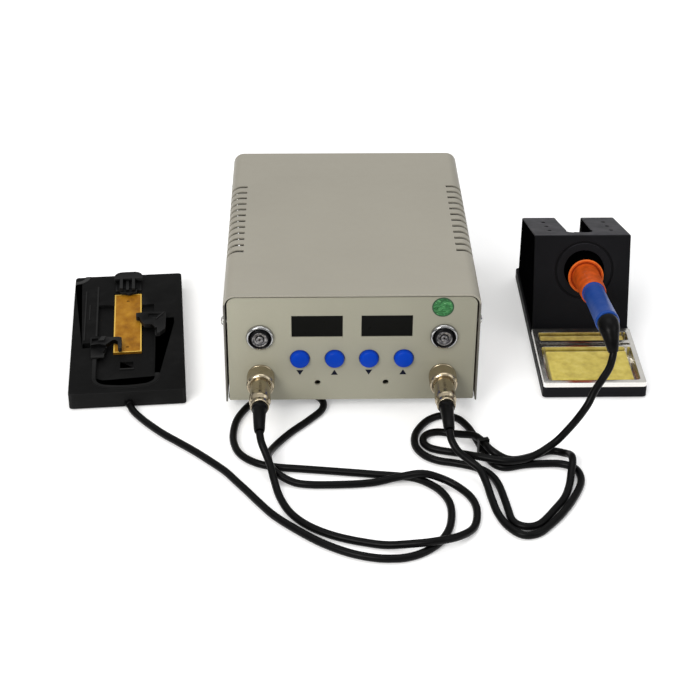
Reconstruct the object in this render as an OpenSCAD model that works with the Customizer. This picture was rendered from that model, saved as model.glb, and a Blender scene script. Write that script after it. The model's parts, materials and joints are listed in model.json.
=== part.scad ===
// Soldering station with preheater: control station, preheating platform,
// iron holder with sponge tray, soldering iron and their two cords.
// Millimetres. +X right, +Y to the back, +Z up, everything stands on Z = 0.

/* [Station case] */
// Outer width of the case
case_w = 170; // [168:0.5:172]
// Outer depth of the case
case_d = 219; // [214:1:225]
// Height of the case above its feet
case_h = 82.5; // [81:0.5:85]
// Height of the rubber feet
foot_h = 8; // [7.5:0.5:10]
// Sheet thickness of case and cover
sheet = 1.2; // [1:0.1:1.4]
// Outer radius of the cover's shoulders
shoulder_r = 8; // [6:0.5:9]
// Number of vent slots on each side
vent_n = 12; // [6:1:14]
// Distance between vent slots
vent_pitch = 9; // [7:0.5:9]
// Width of a vent slot
vent_w = 3.2; // [2:0.2:4]

/* [Front panel] */
// Distance of switches and sockets from the middle
switch_x = 61.2; // [60:0.1:62]
// Height of the power switches above the case bottom
switch_z = 50.4; // [49:0.2:52]
// Height of the connectors above the case bottom
socket_z = 19.6; // [18.5:0.1:20]
// Travel of a power button
power_travel = 2; // [1:0.1:2.4]
// Diameter of a temperature button
button_d = 12.8; // [12:0.2:13.2]
// Travel of a temperature button
button_travel = 1; // [0.6:0.1:1]
// Width of a display window
window_w = 34; // [30:0.5:34]
// Height of a display window
window_h = 16.2; // [14:0.2:17]

/* [Preheater] */
// Width of the preheating platform
pre_w = 79.7; // [79:0.1:82]
// Depth of the preheating platform
pre_d = 163.2; // [163:0.1:170]
// Height of the preheating platform
pre_h = 12.6; // [12.2:0.1:13]
// Travel of each clamp
clamp_travel = 6; // [3:0.5:6]

/* [Iron holder] */
// Width of the holder base
base_w = 72.2; // [71.5:0.1:74]
// Depth of the holder base
base_d = 172; // [170:1:178]
// Height of the holder base
base_h = 8.25; // [8:0.05:9]
// Diameter of the holder's mouth
mouth_d = 29; // [28:0.2:30]

/* [Soldering iron] */
// Length of the blue handle from the flange
handle_l = 118; // [116:1:120]
// Slope of the resting iron
iron_el = 14.4; // [14:0.1:15]

/* [Cords] */
// Diameter of both cords
cord_d = 5; // [4.8:0.1:5.1]

/* [Hidden] */
// shift from the layout frame to the middle of the footprint
org_x = -0.41;
org_y = 94.57;
z0 = foot_h;
z1 = foot_h + case_h;
eps = 0.01;
panel_y0 = 1;
panel_y1 = 3;
rear_y0 = case_d - 3;
rear_y1 = case_d - 1;
bolt_y = [10, case_d - 10];
bolt_z = 66;
feet_xy = [[66, 42], [66, 188]];
btn_x = [34.8, 11.5];
btn_z = z0 + 33.3;
cal_x = 23;
cal_z = z0 + 14.1;
win_x = 23.2;
win_z = z0 + 58.2;
sw_z = z0 + switch_z;
so_z = z0 + socket_z;
pre_x = -192.2; pre_y = 2.8; pre_yaw = 4.65;
std_x = 132.2; std_y = 12.8;
// holder block: side outline (depth, height) and its side faces
blk_x0 = 1.6; blk_x1 = 71.3;
blk = [[77.8, base_h], [98.55, 75.3], [166.8, 54.4], [166.8, base_h]];
face_tilt = atan2(98.55 - 77.8, 75.3 - 8.25);
mouth = [38.1, 90.96, 50.76];
bore_el = 15.5;
iron_p = [171.3, 99.8, 47.55];
iron_az = -2.4;
cr = cord_d/2;

// ---------------------------------------------------------------- frames
module lay() translate([-org_x, -org_y, 0]) children();
module pre() lay() translate([pre_x, pre_y, 0]) rotate([0, 0, pre_yaw]) children();
module std() lay() translate([std_x, std_y, 0]) children();
// iron frame: +Z runs from the flange to the user's end of the handle
module irn() lay() translate(iron_p) rotate([90 - iron_el, 0, iron_az]) children();

// ---------------------------------------------------------------- helpers
module along_y(y0, y1) translate([0, y1, 0]) rotate([90, 0, 0]) linear_extrude(y1 - y0) children();
module rod_y(x, z, y0, y1, r, fn = 48) translate([x, y0, z]) rotate([-90, 0, 0]) cylinder(r = r, h = y1 - y0, $fn = fn);
module spin_y(x, z) translate([x, 0, z]) rotate([90, 0, 0]) rotate_extrude($fn = 64) children();
module rrect(w, h, r) {
    translate([r, 0]) square([w - 2*r, h]);
    translate([0, r]) square([w, h - 2*r]);
    for (x = [r, w - r], y = [r, h - r]) translate([x, y]) circle(r, $fn = 48);
}
module arch(w, a, b, r) {
    translate([-w/2, a]) square([w, b - r - a]);
    translate([-w/2 + r, a]) square([w - 2*r, b - a]);
    for (s = [-1, 1]) translate([s*(w/2 - r), b - r]) circle(r, $fn = 64);
}
// smooth tube through points: Catmull-Rom through the list, one ring per sample
function cat(a, b, c, d, t) = 0.5*((2*b) + (c - a)*t + (2*a - 5*b + 4*c - d)*t*t + (3*b - a - 3*c + d)*t*t*t);
function path(p, k) = let(n = len(p)) [for (i = [0 : n - 2]) for (j = [0 : k - 1])
    cat(i == 0 ? 2*p[0] - p[1] : p[i - 1], p[i], p[i + 1], i == n - 2 ? 2*p[n - 1] - p[n - 2] : p[i + 2], j/k), p[n - 1]];
function unit(v) = v/norm(v);
function tang(p, i) = unit(p[min(i + 1, len(p) - 1)] - p[max(i - 1, 0)]);
function side(t) = abs(t[2]) > 0.94 ? unit(cross([1, 0, 0], t)) : unit(cross([0, 0, 1], t));
module tube(p, r, n = 8) {
    m = len(p);
    pts = [for (i = [0 : m - 1]) let(t = tang(p, i), s = side(t), u = cross(t, s))
        for (j = [0 : n - 1]) p[i] + r*(cos(360*(j + 0.5)/n)*s + sin(360*(j + 0.5)/n)*u)];
    polyhedron(points = pts, faces = concat(
        [[for (j = [0 : n - 1]) j]],
        [for (i = [0 : m - 2]) for (j = [0 : n - 1]) [i*n + j, (i + 1)*n + j, (i + 1)*n + (j + 1)%n]],
        [for (i = [0 : m - 2]) for (j = [0 : n - 1]) [i*n + j, (i + 1)*n + (j + 1)%n, i*n + (j + 1)%n]],
        [[for (j = [n - 1 : -1 : 0]) (m - 1)*n + j]]), convexity = 10);
}

// ---------------------------------------------------------------- case
module chassis_base() color("darkgray") lay() difference() {
    union() {
        translate([-83.4, 3.4, z0]) cube([166.8, rear_y0 - 3.8, sheet]);
        translate([-81.6, 3.4, z0]) cube([163.2, sheet, 9]);
        translate([-81.6, rear_y0 - 0.4 - sheet, z0]) cube([163.2, sheet, 9]);
        for (s = [-1, 1]) translate([s*82.8 - 0.6, 20, z0]) cube([sheet, case_d - 40, 12]);
    }
    for (f = feet_xy, s = [-1, 1]) translate([s*f[0], f[1], z0 - 1]) cylinder(r = 1.7, h = 4, $fn = 32);
    for (i = [0 : 7]) translate([-45 + 12*i, 60, z0 - 1]) cube([3, 26, 4]);
}
module panel_plate(ya, yb) {
    along_y(ya, yb) arch(165.2, z0 + 0.5, z1 - sheet - 1, shoulder_r - 2.4);
}
module front_panel() color([0.66, 0.65, 0.58]) lay() difference() {
    union() {
        panel_plate(panel_y0, panel_y1);
        for (s = [-1, 1]) translate([s*82 - 0.6, panel_y1, z0 + 14]) cube([sheet, 13, 62]);
    }
    for (s = [-1, 1]) {
        rod_y(s*switch_x, sw_z, 0, 4, 8.1);
        rod_y(s*switch_x, so_z, 0, 4, 8.1);
        rod_y(s*cal_x, cal_z, 0, 4, 2);
        for (x = btn_x) rod_y(s*x, btn_z, 0, 4, button_d/2 + 0.35);
        translate([s*win_x - window_w/2, 0, win_z - window_h/2 + 0.05]) cube([window_w, 4, window_h]);
        translate([s*82, bolt_y[0], bolt_z]) rotate([0, 90, 0]) cylinder(r = 1.5, h = 3, center = true, $fn = 32);
    }
}
module rear_panel() color([0.66, 0.65, 0.58]) lay() difference() {
    union() {
        panel_plate(rear_y0, rear_y1);
        for (s = [-1, 1]) translate([s*82 - 0.6, rear_y0 - 13, z0 + 14]) cube([sheet, 13, 62]);
    }
    translate([-66.2, rear_y0 - 1, 22]) cube([32.4, 4, 30]);
    for (s = [-1, 1]) {
        rod_y(-50 + 20*s, 37, rear_y0 - 1, rear_y0 + 3, 1.6, 32);
        translate([s*82, bolt_y[1], bolt_z]) rotate([0, 90, 0]) cylinder(r = 1.5, h = 3, center = true, $fn = 32);
    }
}
module top_cover() color([0.70, 0.69, 0.62]) lay() difference() {
    along_y(0, case_d) arch(case_w, z0, z1, shoulder_r);
    along_y(-1, case_d + 1) arch(case_w - 2*sheet, z0 - 1, z1 - sheet, shoulder_r - sheet);
    for (s = [-1, 1], k = [0 : vent_n - 1])
        translate([s*80.5 - 7.5, 62 + vent_pitch*k - vent_w/2, z1 - 9.5]) cube([15, vent_w, 12]);
    for (s = [-1, 1], y = bolt_y) translate([s*case_w/2, y, bolt_z]) rotate([0, 90, 0]) cylinder(r = 1.6, h = 5, center = true, $fn = 32);
}
module pan_screw(l) {
    rotate_extrude($fn = 48) polygon([[0, 0], [3.1, 0], [3.1, 0.8], [2.5, 1.6], [1.2, 2], [0, 2]]);
    translate([0, 0, -l]) cylinder(r = 1.4, h = l + eps, $fn = 32);
}
module slotted(l) difference() {
    pan_screw(l);
    for (a = [0, 90]) rotate([0, 0, a]) translate([-1.7, -0.35, 1.1]) cube([3.4, 0.7, 2]);
}
module case_screws() color("silver") lay() {
    for (s = [-1, 1], y = bolt_y) translate([s*case_w/2, y, bolt_z]) rotate([0, s*90, 0]) slotted(5);
    for (f = feet_xy, s = [-1, 1]) translate([s*f[0], f[1], 3.5]) rotate([180, 0, 0]) slotted(8);
    for (s = [-1, 1]) translate([-50 + 20*s, rear_y1 + 2.2, 37]) rotate([-90, 0, 0]) slotted(7);
}
module rubber_feet() color([0.1, 0.1, 0.1]) {
    lay() for (f = feet_xy, s = [-1, 1]) translate([s*f[0], f[1], 0]) difference() {
        cylinder(r1 = 7, r2 = 8, h = foot_h, $fn = 48);
        translate([0, 0, -1]) cylinder(r = 3.5, h = 4.5, $fn = 32);
        cylinder(r = 1.5, h = foot_h + 1, $fn = 32);
    }
    pre() for (x = [12, pre_w - 12], y = [14, pre_d - 14]) translate([x, y, 0]) cylinder(r = 4, h = 0.8, $fn = 32);
    std() for (x = [10, base_w - 10], y = [12, base_d - 12]) translate([x, y, 0]) cylinder(r = 5, h = 0.8, $fn = 32);
}

// ---------------------------------------------------------------- front electronics
module window(s) color([0.08, 0.05, 0.05]) lay() {
    translate([s*win_x - window_w/2 + 0.1, 1.5, win_z - window_h/2 + 0.15]) cube([window_w - 0.2, 1.6, window_h - 0.2]);
    translate([s*win_x - 19, panel_y1, win_z - 10]) cube([38, 1.4, 20]);
}
module display_window_1() window(-1);
module display_window_2() window(1);
module led_displays() color([0.25, 0.25, 0.25]) lay() for (s = [-1, 1]) difference() {
    translate([s*win_x - 15.1, 5.6, win_z - 7]) cube([30.2, 8.4, 14]);
    for (k = [-1 : 1], h = [-1, 1]) translate([s*win_x + 9.4*k - 2.2, 5, win_z + 2.9*h - 2.1]) cube([4.4, 1, 4.2]);
}
module control_board() color([0.1, 0.35, 0.18]) lay() difference() {
    union() {
        translate([-51, 14, 16]) cube([102, 1.6, 64]);
        for (s = [-1, 1]) translate([s*cal_x - 3.4, 9, cal_z - 3.4]) cube([6.8, 5.2, 6.8]);
        for (s = [-1, 1], x = btn_x) {
            translate([s*x - 3, 10.6, btn_z - 3]) cube([6, 3.6, 6]);
            rod_y(s*x, btn_z, 9.4, 11, 1.75, 32);
        }
        translate([-8, 15.4, 40]) cube([16, 2.2, 10]);
        translate([-30, 15.4, 60]) cube([14, 8, 6]);
        translate([16, 15.4, 60]) cube([14, 8, 6]);
    }
    for (s = [-1, 1]) {
        rod_y(s*cal_x, cal_z, 8, 11.5, 2.05);
        for (z = [20, 76]) rod_y(s*47, z, 13, 16, 1.6, 32);
    }
}
module board_standoffs() color("gold") lay() for (s = [-1, 1], z = [20, 76]) {
    rod_y(s*47, z, panel_y1, 14, 2.8, 6);
    rod_y(s*47, z, 13.9, 17.5, 1.5, 32);
}
module cap_button(x) color([0.05, 0.25, 0.75]) lay() {
    spin_y(x, btn_z) polygon([[0, 2.7], [3.6, 2.55], [5.2, 2.2], [6.05, 1.6], [button_d/2, 0.9],
        [button_d/2, -3.4], [7.4, -3.4], [7.4, -4.6], [1.9, -4.6], [1.9, -8.2], [0, -8.2]]);
}
module down_button_1() cap_button(-btn_x[0]);
module up_button_1() cap_button(-btn_x[1]);
module down_button_2() cap_button(btn_x[1]);
module up_button_2() cap_button(btn_x[0]);
module power_switch(x) color([0.8, 0.8, 0.8]) lay() {
    spin_y(x, sw_z) polygon([[6.26, 1.0], [7.0, 1.6], [8.3, 1.4], [9.3, 0.2], [9.3, -1.0], [7.95, -1.0],
        [7.95, -21], [0, -21], [0, -12], [6.26, -12]]);
    for (d = [-1, 1]) translate([x + 3*d - 0.4, 20.9, sw_z - 2]) cube([0.8, 7, 4]);
}
module power_switch_1() power_switch(-switch_x);
module power_switch_2() power_switch(switch_x);
// concentric plunger: outer land, recessed ring, middle stud with a dimple
module power_button(x) color([0.75, 0.75, 0.75]) lay() spin_y(x, sw_z)
    polygon([[0, 2.6], [0.7, 2.6], [0.9, 3.2], [1.9, 3.4], [2.4, 2.9], [2.4, 1.8], [3.9, 1.8], [4.2, 2.9], [5.2, 3.1],
        [6.2, 2.3], [6.2, -9], [0, -9]]);
module power_button_1() power_button(-switch_x);
module power_button_2() power_button(switch_x);
module panel_nuts() color("silver") lay() for (s = [-1, 1], z = [sw_z, so_z]) difference() {
    rod_y(s*switch_x, z, panel_y1, panel_y1 + 2.6, 10.6, 6);
    rod_y(s*switch_x, z, panel_y1 - 1, panel_y1 + 4, 8);
}
module panel_socket(x) color([0.75, 0.72, 0.65]) lay() {
    spin_y(x, so_z) polygon([[0, -12], [0, 0.6], [6.35, 0.6], [6.35, 9.5], [7.3, 9.5], [7.8, 9.1], [7.8, 0.2],
        [9.2, 0.2], [9.2, -1], [7.95, -1], [7.95, -12]]);
    for (a = [0 : 72 : 359]) rod_y(x + 3.6*sin(a), so_z + 3.6*cos(a), -6, 1, 0.6, 16);
    for (a = [0 : 72 : 359]) rod_y(x + 3.6*sin(a), so_z + 3.6*cos(a), 11.9, 16, 0.8, 16);
}
module panel_socket_1() panel_socket(-switch_x);
module panel_socket_2() panel_socket(switch_x);
module coupling_ring(x) color([0.78, 0.74, 0.68]) lay() spin_y(x, so_z)
    polygon([[7.86, 0.6], [8.9, 0.6], [9.4, 1.1], [9.4, 11.3], [8.4, 12.5], [6.96, 12.5], [6.96, 10.9], [7.86, 10.9]]);
module coupling_ring_1() coupling_ring(-switch_x);
module coupling_ring_2() coupling_ring(switch_x);
module plug_shell(x) color([0.75, 0.72, 0.66]) lay() difference() {
    spin_y(x, so_z) polygon([[0, 6.3], [4.9, 6.3], [4.9, 1.4], [6.2, 1.4], [6.2, 9.7], [7.6, 9.7], [7.6, 10.7], [6.9, 10.7],
        [6.9, 25.6], [7.2, 26], [7.2, 30.6], [6.6, 31.4], [5.9, 32.2], [5.9, 34], [6.3, 34.3], [6.3, 36.6], [5.9, 37], [0, 37]]);
    for (a = [0 : 72 : 359]) rod_y(x + 3.6*sin(a), so_z + 3.6*cos(a), -6.4, -2, 0.8, 16);
}
module plug_shell_1() plug_shell(-switch_x);
module plug_shell_2() plug_shell(switch_x);
boot_end = [0.3, -60, -3.2];
boot_pts = [[0, -37, 0], [0, -41, -0.05], [0.05, -47, -0.5], [0.15, -54, -1.6], boot_end];
boot_tilt = [0, 1, 6, 12, 30];
boot_yaw = [0, 0, 0, 0, 11];
module disc(p, tilt, yaw, r) translate(p) rotate([90 + tilt, 0, yaw]) cylinder(r = r, h = 0.4, $fn = 32);
module plug_boot(x) color([0.08, 0.08, 0.08]) lay() translate([x, 0, so_z]) {
    rod_y(0, 0, -41, -37, 5.35);
    r = [4.6, 4.4, 4.2, 3.9, 3.6];
    for (i = [0 : 3]) hull() { disc(boot_pts[i], boot_tilt[i], boot_yaw[i], r[i]); disc(boot_pts[i + 1] + (i == 3 ? [0, 0.4, 0] : [0, 0, 0]), boot_tilt[i + 1], boot_yaw[i + 1], r[i + 1]); }
}
module plug_boot_1() plug_boot(-switch_x);
module plug_boot_2() plug_boot(switch_x);
module cal_trimmer(x) color("gold") lay() difference() {
    rod_y(x, cal_z, 8.4, 11.3, 2);
    translate([x - 0.3, 8, cal_z - 1.6]) cube([0.6, 1.2, 3.2]);
}
module cal_trimmer_1() cal_trimmer(-cal_x);
module cal_trimmer_2() cal_trimmer(cal_x);

// ---------------------------------------------------------------- inside the case
module transformer_core() color([0.45, 0.45, 0.48]) lay() translate([-68, 128, z0 + sheet]) difference() {
    union() { translate([0, 0, 3]) cube([72, 30, 60]); translate([-6, 4, 0]) cube([84, 22, 3.2]); }
    for (x = [12, 48]) translate([x, -1, 15]) cube([12, 32, 36]);
    for (x = [-3, 75]) translate([x, 15, -1]) cylinder(r = 2, h = 6, $fn = 32);
}
module transformer_winding() color([0.75, 0.5, 0.2]) lay() translate([-68, 128, z0 + sheet]) difference() {
    translate([12.3, -10, 15.3]) cube([47.4, 50, 35.4]);
    translate([23.9, -11, 14]) cube([24.2, 52, 38]);
}
module power_board() color([0.12, 0.38, 0.2]) lay() translate([16, 100, z0 + sheet]) {
    difference() {
        translate([0, 0, 7]) cube([60, 95, 1.6]);
        for (x = [4, 56], y = [4, 91]) translate([x, y, 5]) cylinder(r = 1.6, h = 5, $fn = 32);
    }
    for (x = [4, 56], y = [4, 91]) translate([x, y, 0]) cylinder(r = 2.5, h = 7.02, $fn = 32);
    translate([6, 40, 8.5]) cube([3, 40, 30]);
    for (x = [22, 42]) translate([x, 20, 8.5]) cylinder(r = 9, h = 30, $fn = 48);
    translate([20, 50, 8.5]) cube([26, 14, 6]);
    translate([20, 80, 8.5]) cube([24, 9, 10]);
    translate([8, 3, 8.5]) cube([10, 7, 8]);
}
module wire_loom() color("firebrick") lay() {
    tube(path([[-50, 193, 36], [-44, 184, 34], [-20, 178, 30], [10, 180, 26], [35, 184.5, 24]], 3), 1.2);
    tube(path([[-20, 117.5, 40], [-12, 104, 42], [14, 96, 38], [26, 103, 33], [28.5, 106, 27.2]], 3), 1.2);
    tube(path([[-23, 24, 63], [-20, 40, 60], [10, 60, 42], [42, 88, 28], [49, 103, 19.6]], 3), 1.2);
}
module mains_inlet() color([0.1, 0.1, 0.1]) lay() difference() {
    union() {
        along_y(rear_y1, rear_y1 + 2.2) translate([-75, 21]) rrect(50, 32, 6);
        translate([-66, rear_y1 - 24, 22.2]) cube([32, 24.1, 29.6]);
    }
    translate([-62, rear_y1 - 15, 31]) cube([24, 20, 17]);
    translate([-61.8, rear_y1 - 19.5, 23.4]) cube([23.6, 24, 6.4]);
    for (s = [-1, 1]) rod_y(-50 + 20*s, 37, rear_y0, rear_y1 + 3, 1.6, 32);
}
module fuse_drawer() color([0.14, 0.14, 0.14]) lay() difference() {
    union() {
        translate([-61.5, rear_y1 - 19, 23.7]) cube([23, 21.5, 5.8]);
        translate([-53, rear_y1 + 2.2, 24.6]) cube([6, 1.5, 4]);
    }
    translate([-60, rear_y1 - 17, 26.7]) cube([20, 16, 5]);
}
module inspection_seal() color([0.2, 0.55, 0.25]) lay() rod_y(59.8, z0 + 72.5, panel_y0 - 0.15, panel_y0, 7.3, 64);

// ---------------------------------------------------------------- preheater
pock_x0 = 18.6; pock_x1 = 58.8;
module pocket_outline() {
    offset(r = 9, $fn = 40) offset(delta = -9) intersection() {
        translate([pock_x0, 0]) square([pock_x1 - pock_x0, 118]);
        union() { translate([39.2, 66.7]) circle(58.5, $fn = 120); translate([10, 60]) square([60, 60]); }
    }
    translate([pock_x0, 100]) square([pock_x1 - pock_x0, 18]);
}
module preheater_housing() color([0.12, 0.12, 0.13]) pre() { difference() {
    union() {
        translate([0, 0, 0.8]) linear_extrude(pre_h - 0.8) rrect(pre_w, pre_d, 2.6);
        translate([16.9, 74, pre_h - eps]) cube([1.3, 72, 0.8]);
        translate([18.1, 117.4, pre_h - 3]) cube([10.6, 1.2, 3.7]);
        translate([11.4, 98, pre_h - eps]) cube([1.1, 22, 0.5]);
        translate([8.3, 69, pre_h - eps]) cube([1.2, 71, 0.7]);
        // raised lip along the pocket's front and left front walls
        translate([0, 0, pre_h - eps]) linear_extrude(0.6) intersection() {
            difference() { offset(delta = 3.2) pocket_outline(); offset(delta = 0.4) pocket_outline(); }
            polygon([[0, 0], [0, 43.5], [30, 43.5], [30, 22], [79, 22], [79, 0]]);
        }
        // raised arc round the back left corner
        intersection() {
            translate([0, pre_d, pre_h - eps]) difference() {
                cylinder(r = 11.4, h = 0.5, $fn = 96);
                translate([0, 0, -1]) cylinder(r = 7.9, h = 3, $fn = 96);
            }
            translate([0.4, pre_d - 14, 0]) cube([14, 13.6, 20]);
        }
    }
    // pocket with a bowed front wall and a rear pad left standing
    translate([0, 0, 10.2]) linear_extrude(4) pocket_outline();
    // heated plate well and the heater space under it
    translate([29.5, 52.9, 8.2]) cube([20.4, 82.6, 6]);
    translate([31.7, 55.7, 5]) cube([15.6, 74.6, 4]);
    translate([34.5, 49.4, 5]) cube([10, 7.5, 2.3]);
    // sensor window
    translate([35, 33.4, 8.4]) cube([8.8, 9, 3]);
    // clamp slots
    translate([8, 59.5, 7.6]) cube([12.6, 7, 6]);
    translate([60.2, 89.5, 7.6]) cube([12.6, 7, 6]);
    translate([36.5, 145.4, 7.6]) cube([7, 13, 6]);
    // shallow recess in the back left corner
    translate([0, pre_d, pre_h - 0.35]) cylinder(r = 7.8, h = 2, $fn = 64);
    // underside: open for the base plate and wiring
    translate([3, 3, -1]) cube([pre_w - 6, pre_d - 6, 6.6]);
    // gland hole
    rod_y(40.5, 3.5, -1, 4, 3.25);
}
    // raised lower rim of the sensor window
    translate([34.4, 31.8, 10.1]) cube([10, 1.4, 0.9]);
}
module preheater_base() color([0.3, 0.3, 0.32]) pre() difference() {
    translate([3.2, 3.2, 0.8]) cube([pre_w - 6.4, pre_d - 6.4, 1.2]);
    for (y = [30, 40, 50]) translate([20, y, 0]) cube([40, 3, 3]);
}
module heated_plate() color([0.75, 0.52, 0.15]) pre() difference() {
    translate([29.8, 53.2, 8.3]) cube([19.8, 82, 3.4]);
    for (y = [60, 125]) translate([39.7, y, 11.3]) cylinder(r = 1.2, h = 1, $fn = 32);
}
module heater_element() color([0.85, 0.82, 0.75]) pre() {
    translate([32, 56, 5.7]) cube([15, 74, 2.5]);
    for (x = [36, 43]) translate([x - 0.5, 50.5, 5.9]) cube([1, 6, 1]);
}
module slab(z0_, z1_, pts) translate([0, 0, z0_]) linear_extrude(z1_ - z0_) polygon(pts);
module left_clamp() color([0.2, 0.2, 0.21]) pre() difference() {
    union() {
        translate([15, 60, 8.1]) cube([5, 6, 5.2]);
        slab(12.95, 16.4, [[14, 57.5], [14, 67.6], [21, 68], [30, 67.2], [33.4, 67.2], [35.8, 66], [35.9, 52], [34.6, 51],
            [33.3, 52], [33.1, 60.6], [31.2, 63], [29.4, 62.8], [27, 60], [24.4, 57], [20, 58.6]]);
        slab(16.3, 17, [[19.5, 62], [21.5, 67.9], [25, 67.6], [23.5, 62]]);
        slab(12.95, 14.4, [[14.4, 44.5], [14, 58], [20, 59.5], [26, 59.5], [25, 54], [23.7, 47], [23.7, 44.5]]);
    }
    slab(15.2, 18, [[14.8, 61.5], [14.8, 65.5], [19.4, 66], [18.9, 62.5]]);
    slab(13.4, 15, [[22.6, 48.8], [27, 49.5], [27, 56], [24.6, 56]]);
}
module right_clamp() color([0.2, 0.2, 0.21]) pre() difference() {
    union() {
        translate([61, 90.2, 8.1]) cube([5, 5.6, 5.2]);
        slab(12.95, 16.4, [[45.8, 94.2], [45.8, 99.4], [48, 99.8], [54.5, 100.2], [67.4, 98.8], [67.4, 90], [66.8, 76], [62.8, 70.4],
            [59.6, 70.4], [59.2, 78.6], [57.2, 82.2], [51.8, 83.6], [50, 86.8], [48, 93.4]]);
        slab(16.3, 17, [[67.2, 98.6], [66, 98.7], [59.6, 89.4], [60.8, 88.6]]);
    }
    slab(15.6, 18, [[54.6, 92.6], [59.6, 92.2], [62.6, 96.6], [55, 97.6]]);
    slab(14.8, 18, [[59, 69], [60.9, 69], [60.8, 77.6], [58.6, 78.2]]);
}
module top_clamp() color([0.2, 0.2, 0.21]) pre() {
    translate([37, 146, 8.1]) cube([6, 6, 5.2]);
    translate([30.5, 137, 12.9]) cube([19, 16, 1.5]);
    slab(12.7, 14.5, [[33, 139], [34.2, 133.6], [38, 132.8], [40, 131.6], [43, 133], [46, 133.8], [47, 139]]);
    translate([0, 0, 14.3]) linear_extrude(3.2) intersection() {
        hull() {
            translate([29.5, 139]) square([21.1, 10]);
            for (x = [36, 44.1]) translate([x, 153.4]) circle(6.4, $fn = 48);
        }
        translate([20, 149.8]) square([40, 20]);
    }
    translate([33.5, 135.6, 14.3]) cube([2.5, 14.5, 3]);
    translate([42.6, 134.8, 14.3]) cube([2.4, 15.3, 3]);
    translate([38.2, 136, 14.3]) cube([2.2, 14, 1.5]);
}
module preheater_gland() color([0.06, 0.06, 0.06]) pre() translate([40.5, 0, 3.5]) rotate([90, 0, 0]) {
    translate([0, 0, -2.9]) cylinder(r = 3.2, h = 3.4, $fn = 48);
    rotate([0, 20, 0]) cylinder(r1 = 3, r2 = 2.75, h = 3.2, $fn = 48);
}

// ---------------------------------------------------------------- iron holder
module stand_base() color([0.12, 0.12, 0.13]) std() difference() {
    translate([0, 0, 0.8]) linear_extrude(base_h - 0.8) rrect(base_w, base_d, 2.6);
    translate([2.9, 3.3, 3.9]) cube([66.4, 67.9, 8]);
}
module iron_holder() color([0.13, 0.13, 0.14]) std() difference() {
    translate([blk_x0, 0, 0]) rotate([90, 0, 90]) linear_extrude(blk_x1 - blk_x0) polygon(blk);
    translate(mouth) rotate([-90 - bore_el, 0, 0]) {
        translate([0, 0, -6]) cylinder(r = mouth_d/2, h = 22, $fn = 64);
    }
    // passage for the barrel and the tip, along the resting iron
    translate([iron_p[0] - std_x, iron_p[1] - std_y, iron_p[2]]) rotate([90 - iron_el, 0, iron_az])
        translate([0, 0, -75]) cylinder(r = 5.6, h = 70, $fn = 64);
    // embossed ring round the mouth
    translate(mouth) rotate([-90 - face_tilt, 0, 0]) translate([0, 0, -0.9]) difference() {
        cylinder(r = 21.3, h = 1.8, $fn = 96);
        translate([0, 0, -1]) cylinder(r = 19.5, h = 4, $fn = 96);
    }
    // slot between the ears, open to the back
    translate([0, 0, 33]) linear_extrude(60) {
        translate([26.8, 118]) square([19.3, 60]);
        translate([31.8, 109]) square([9.3, 12]);
        for (x = [32.8, 40.1]) translate([x, 115]) circle(6, $fn = 48);
    }
    // tip holes on the ears
    for (x = [15, 60], k = [0 : 2]) translate([x, 98.55 + 17.9 + 15.8*k, 75.3 - 5.5 - 4.84*k]) rotate([17, 0, 0]) {
        translate([0, 0, -12]) cylinder(r = 1.6, h = 20, $fn = 32);
    }
}
module sponge_tray() color([0.8, 0.8, 0.8]) std() difference() {
    union() {
        translate([3.4, 3.8, 4.2]) cube([65.4, 66.9, 7.5]);
        translate([0.5, 0.7, base_h + 0.15]) linear_extrude(3.75) rrect(71.2, 72.8, 2);
    }
    // turned-down skirt leaves a hollow under the rim
    difference() {
        translate([1.3, 1.5, base_h - 1]) linear_extrude(4.1) rrect(69.6, 71.2, 1.2);
        translate([3.4, 3.8, 4]) cube([65.4, 66.9, 9]);
    }
    // pan: main compartment, bridge, rear compartment
    translate([4.2, 4.6, 5]) linear_extrude(9) rrect(63.8, 43.6, 2.5);
    translate([4.2, 57, 5]) linear_extrude(9) rrect(63.8, 11.2, 2);
    translate([4.2, 48.9, 5]) cube([63.8, 7.4, 5.8]);
    // deep groove across the bridge
    translate([4.2, 50.8, 9]) cube([63.8, 2.6, 5]);
}
module sponge() color([0.75, 0.7, 0.35]) std() translate([7.4, 9.2, 5.1]) linear_extrude(4.3) rrect(57.7, 38.2, 2);
module wiping_strip() color([0.7, 0.52, 0.2]) std() translate([5.4, 57.8, 5.1]) linear_extrude(5.1) rrect(60.6, 9.4, 1.5);

// ---------------------------------------------------------------- soldering iron
module iron_handle() color([0.12, 0.3, 0.62]) irn() difference() {
    rotate_extrude($fn = 64) polygon([[0, 8], [8, 8], [8, 45.2], [7.5, 45.3], [7.55, 60], [7.6, 85], [7.8, handle_l - 9],
        [7.9, handle_l - 3], [7.9, handle_l - 1], [7.4, handle_l], [0, handle_l]]);
    translate([0, 0, 7]) cylinder(r = 5.1, h = 5.4, $fn = 48);
    translate([0, 0, 7]) cylinder(r = 3.8, h = 60, $fn = 48);
    translate([0, 0, 60]) cylinder(r = 4.6, h = 70, $fn = 48);
}
module iron_flange() color([0.8, 0.38, 0.1]) irn() difference() {
    rotate_extrude($fn = 96) polygon([[0, -0.8], [12.3, -0.8], [12.7, -0.4], [12.7, 0.7], [12.3, 1.1], [11, 1.1], [10.2, 0.5],
        [9.6, 0.8], [9.5, 1.6], [9.4, 12], [9.1, 30], [8.9, 44.2], [8.5, 45], [0, 45]]);
    translate([0, 0, 7.9]) cylinder(r = 8.02, h = 40, $fn = 64);
    translate([0, 0, -2]) cylinder(r = 5.02, h = 12, $fn = 64);
}
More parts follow.
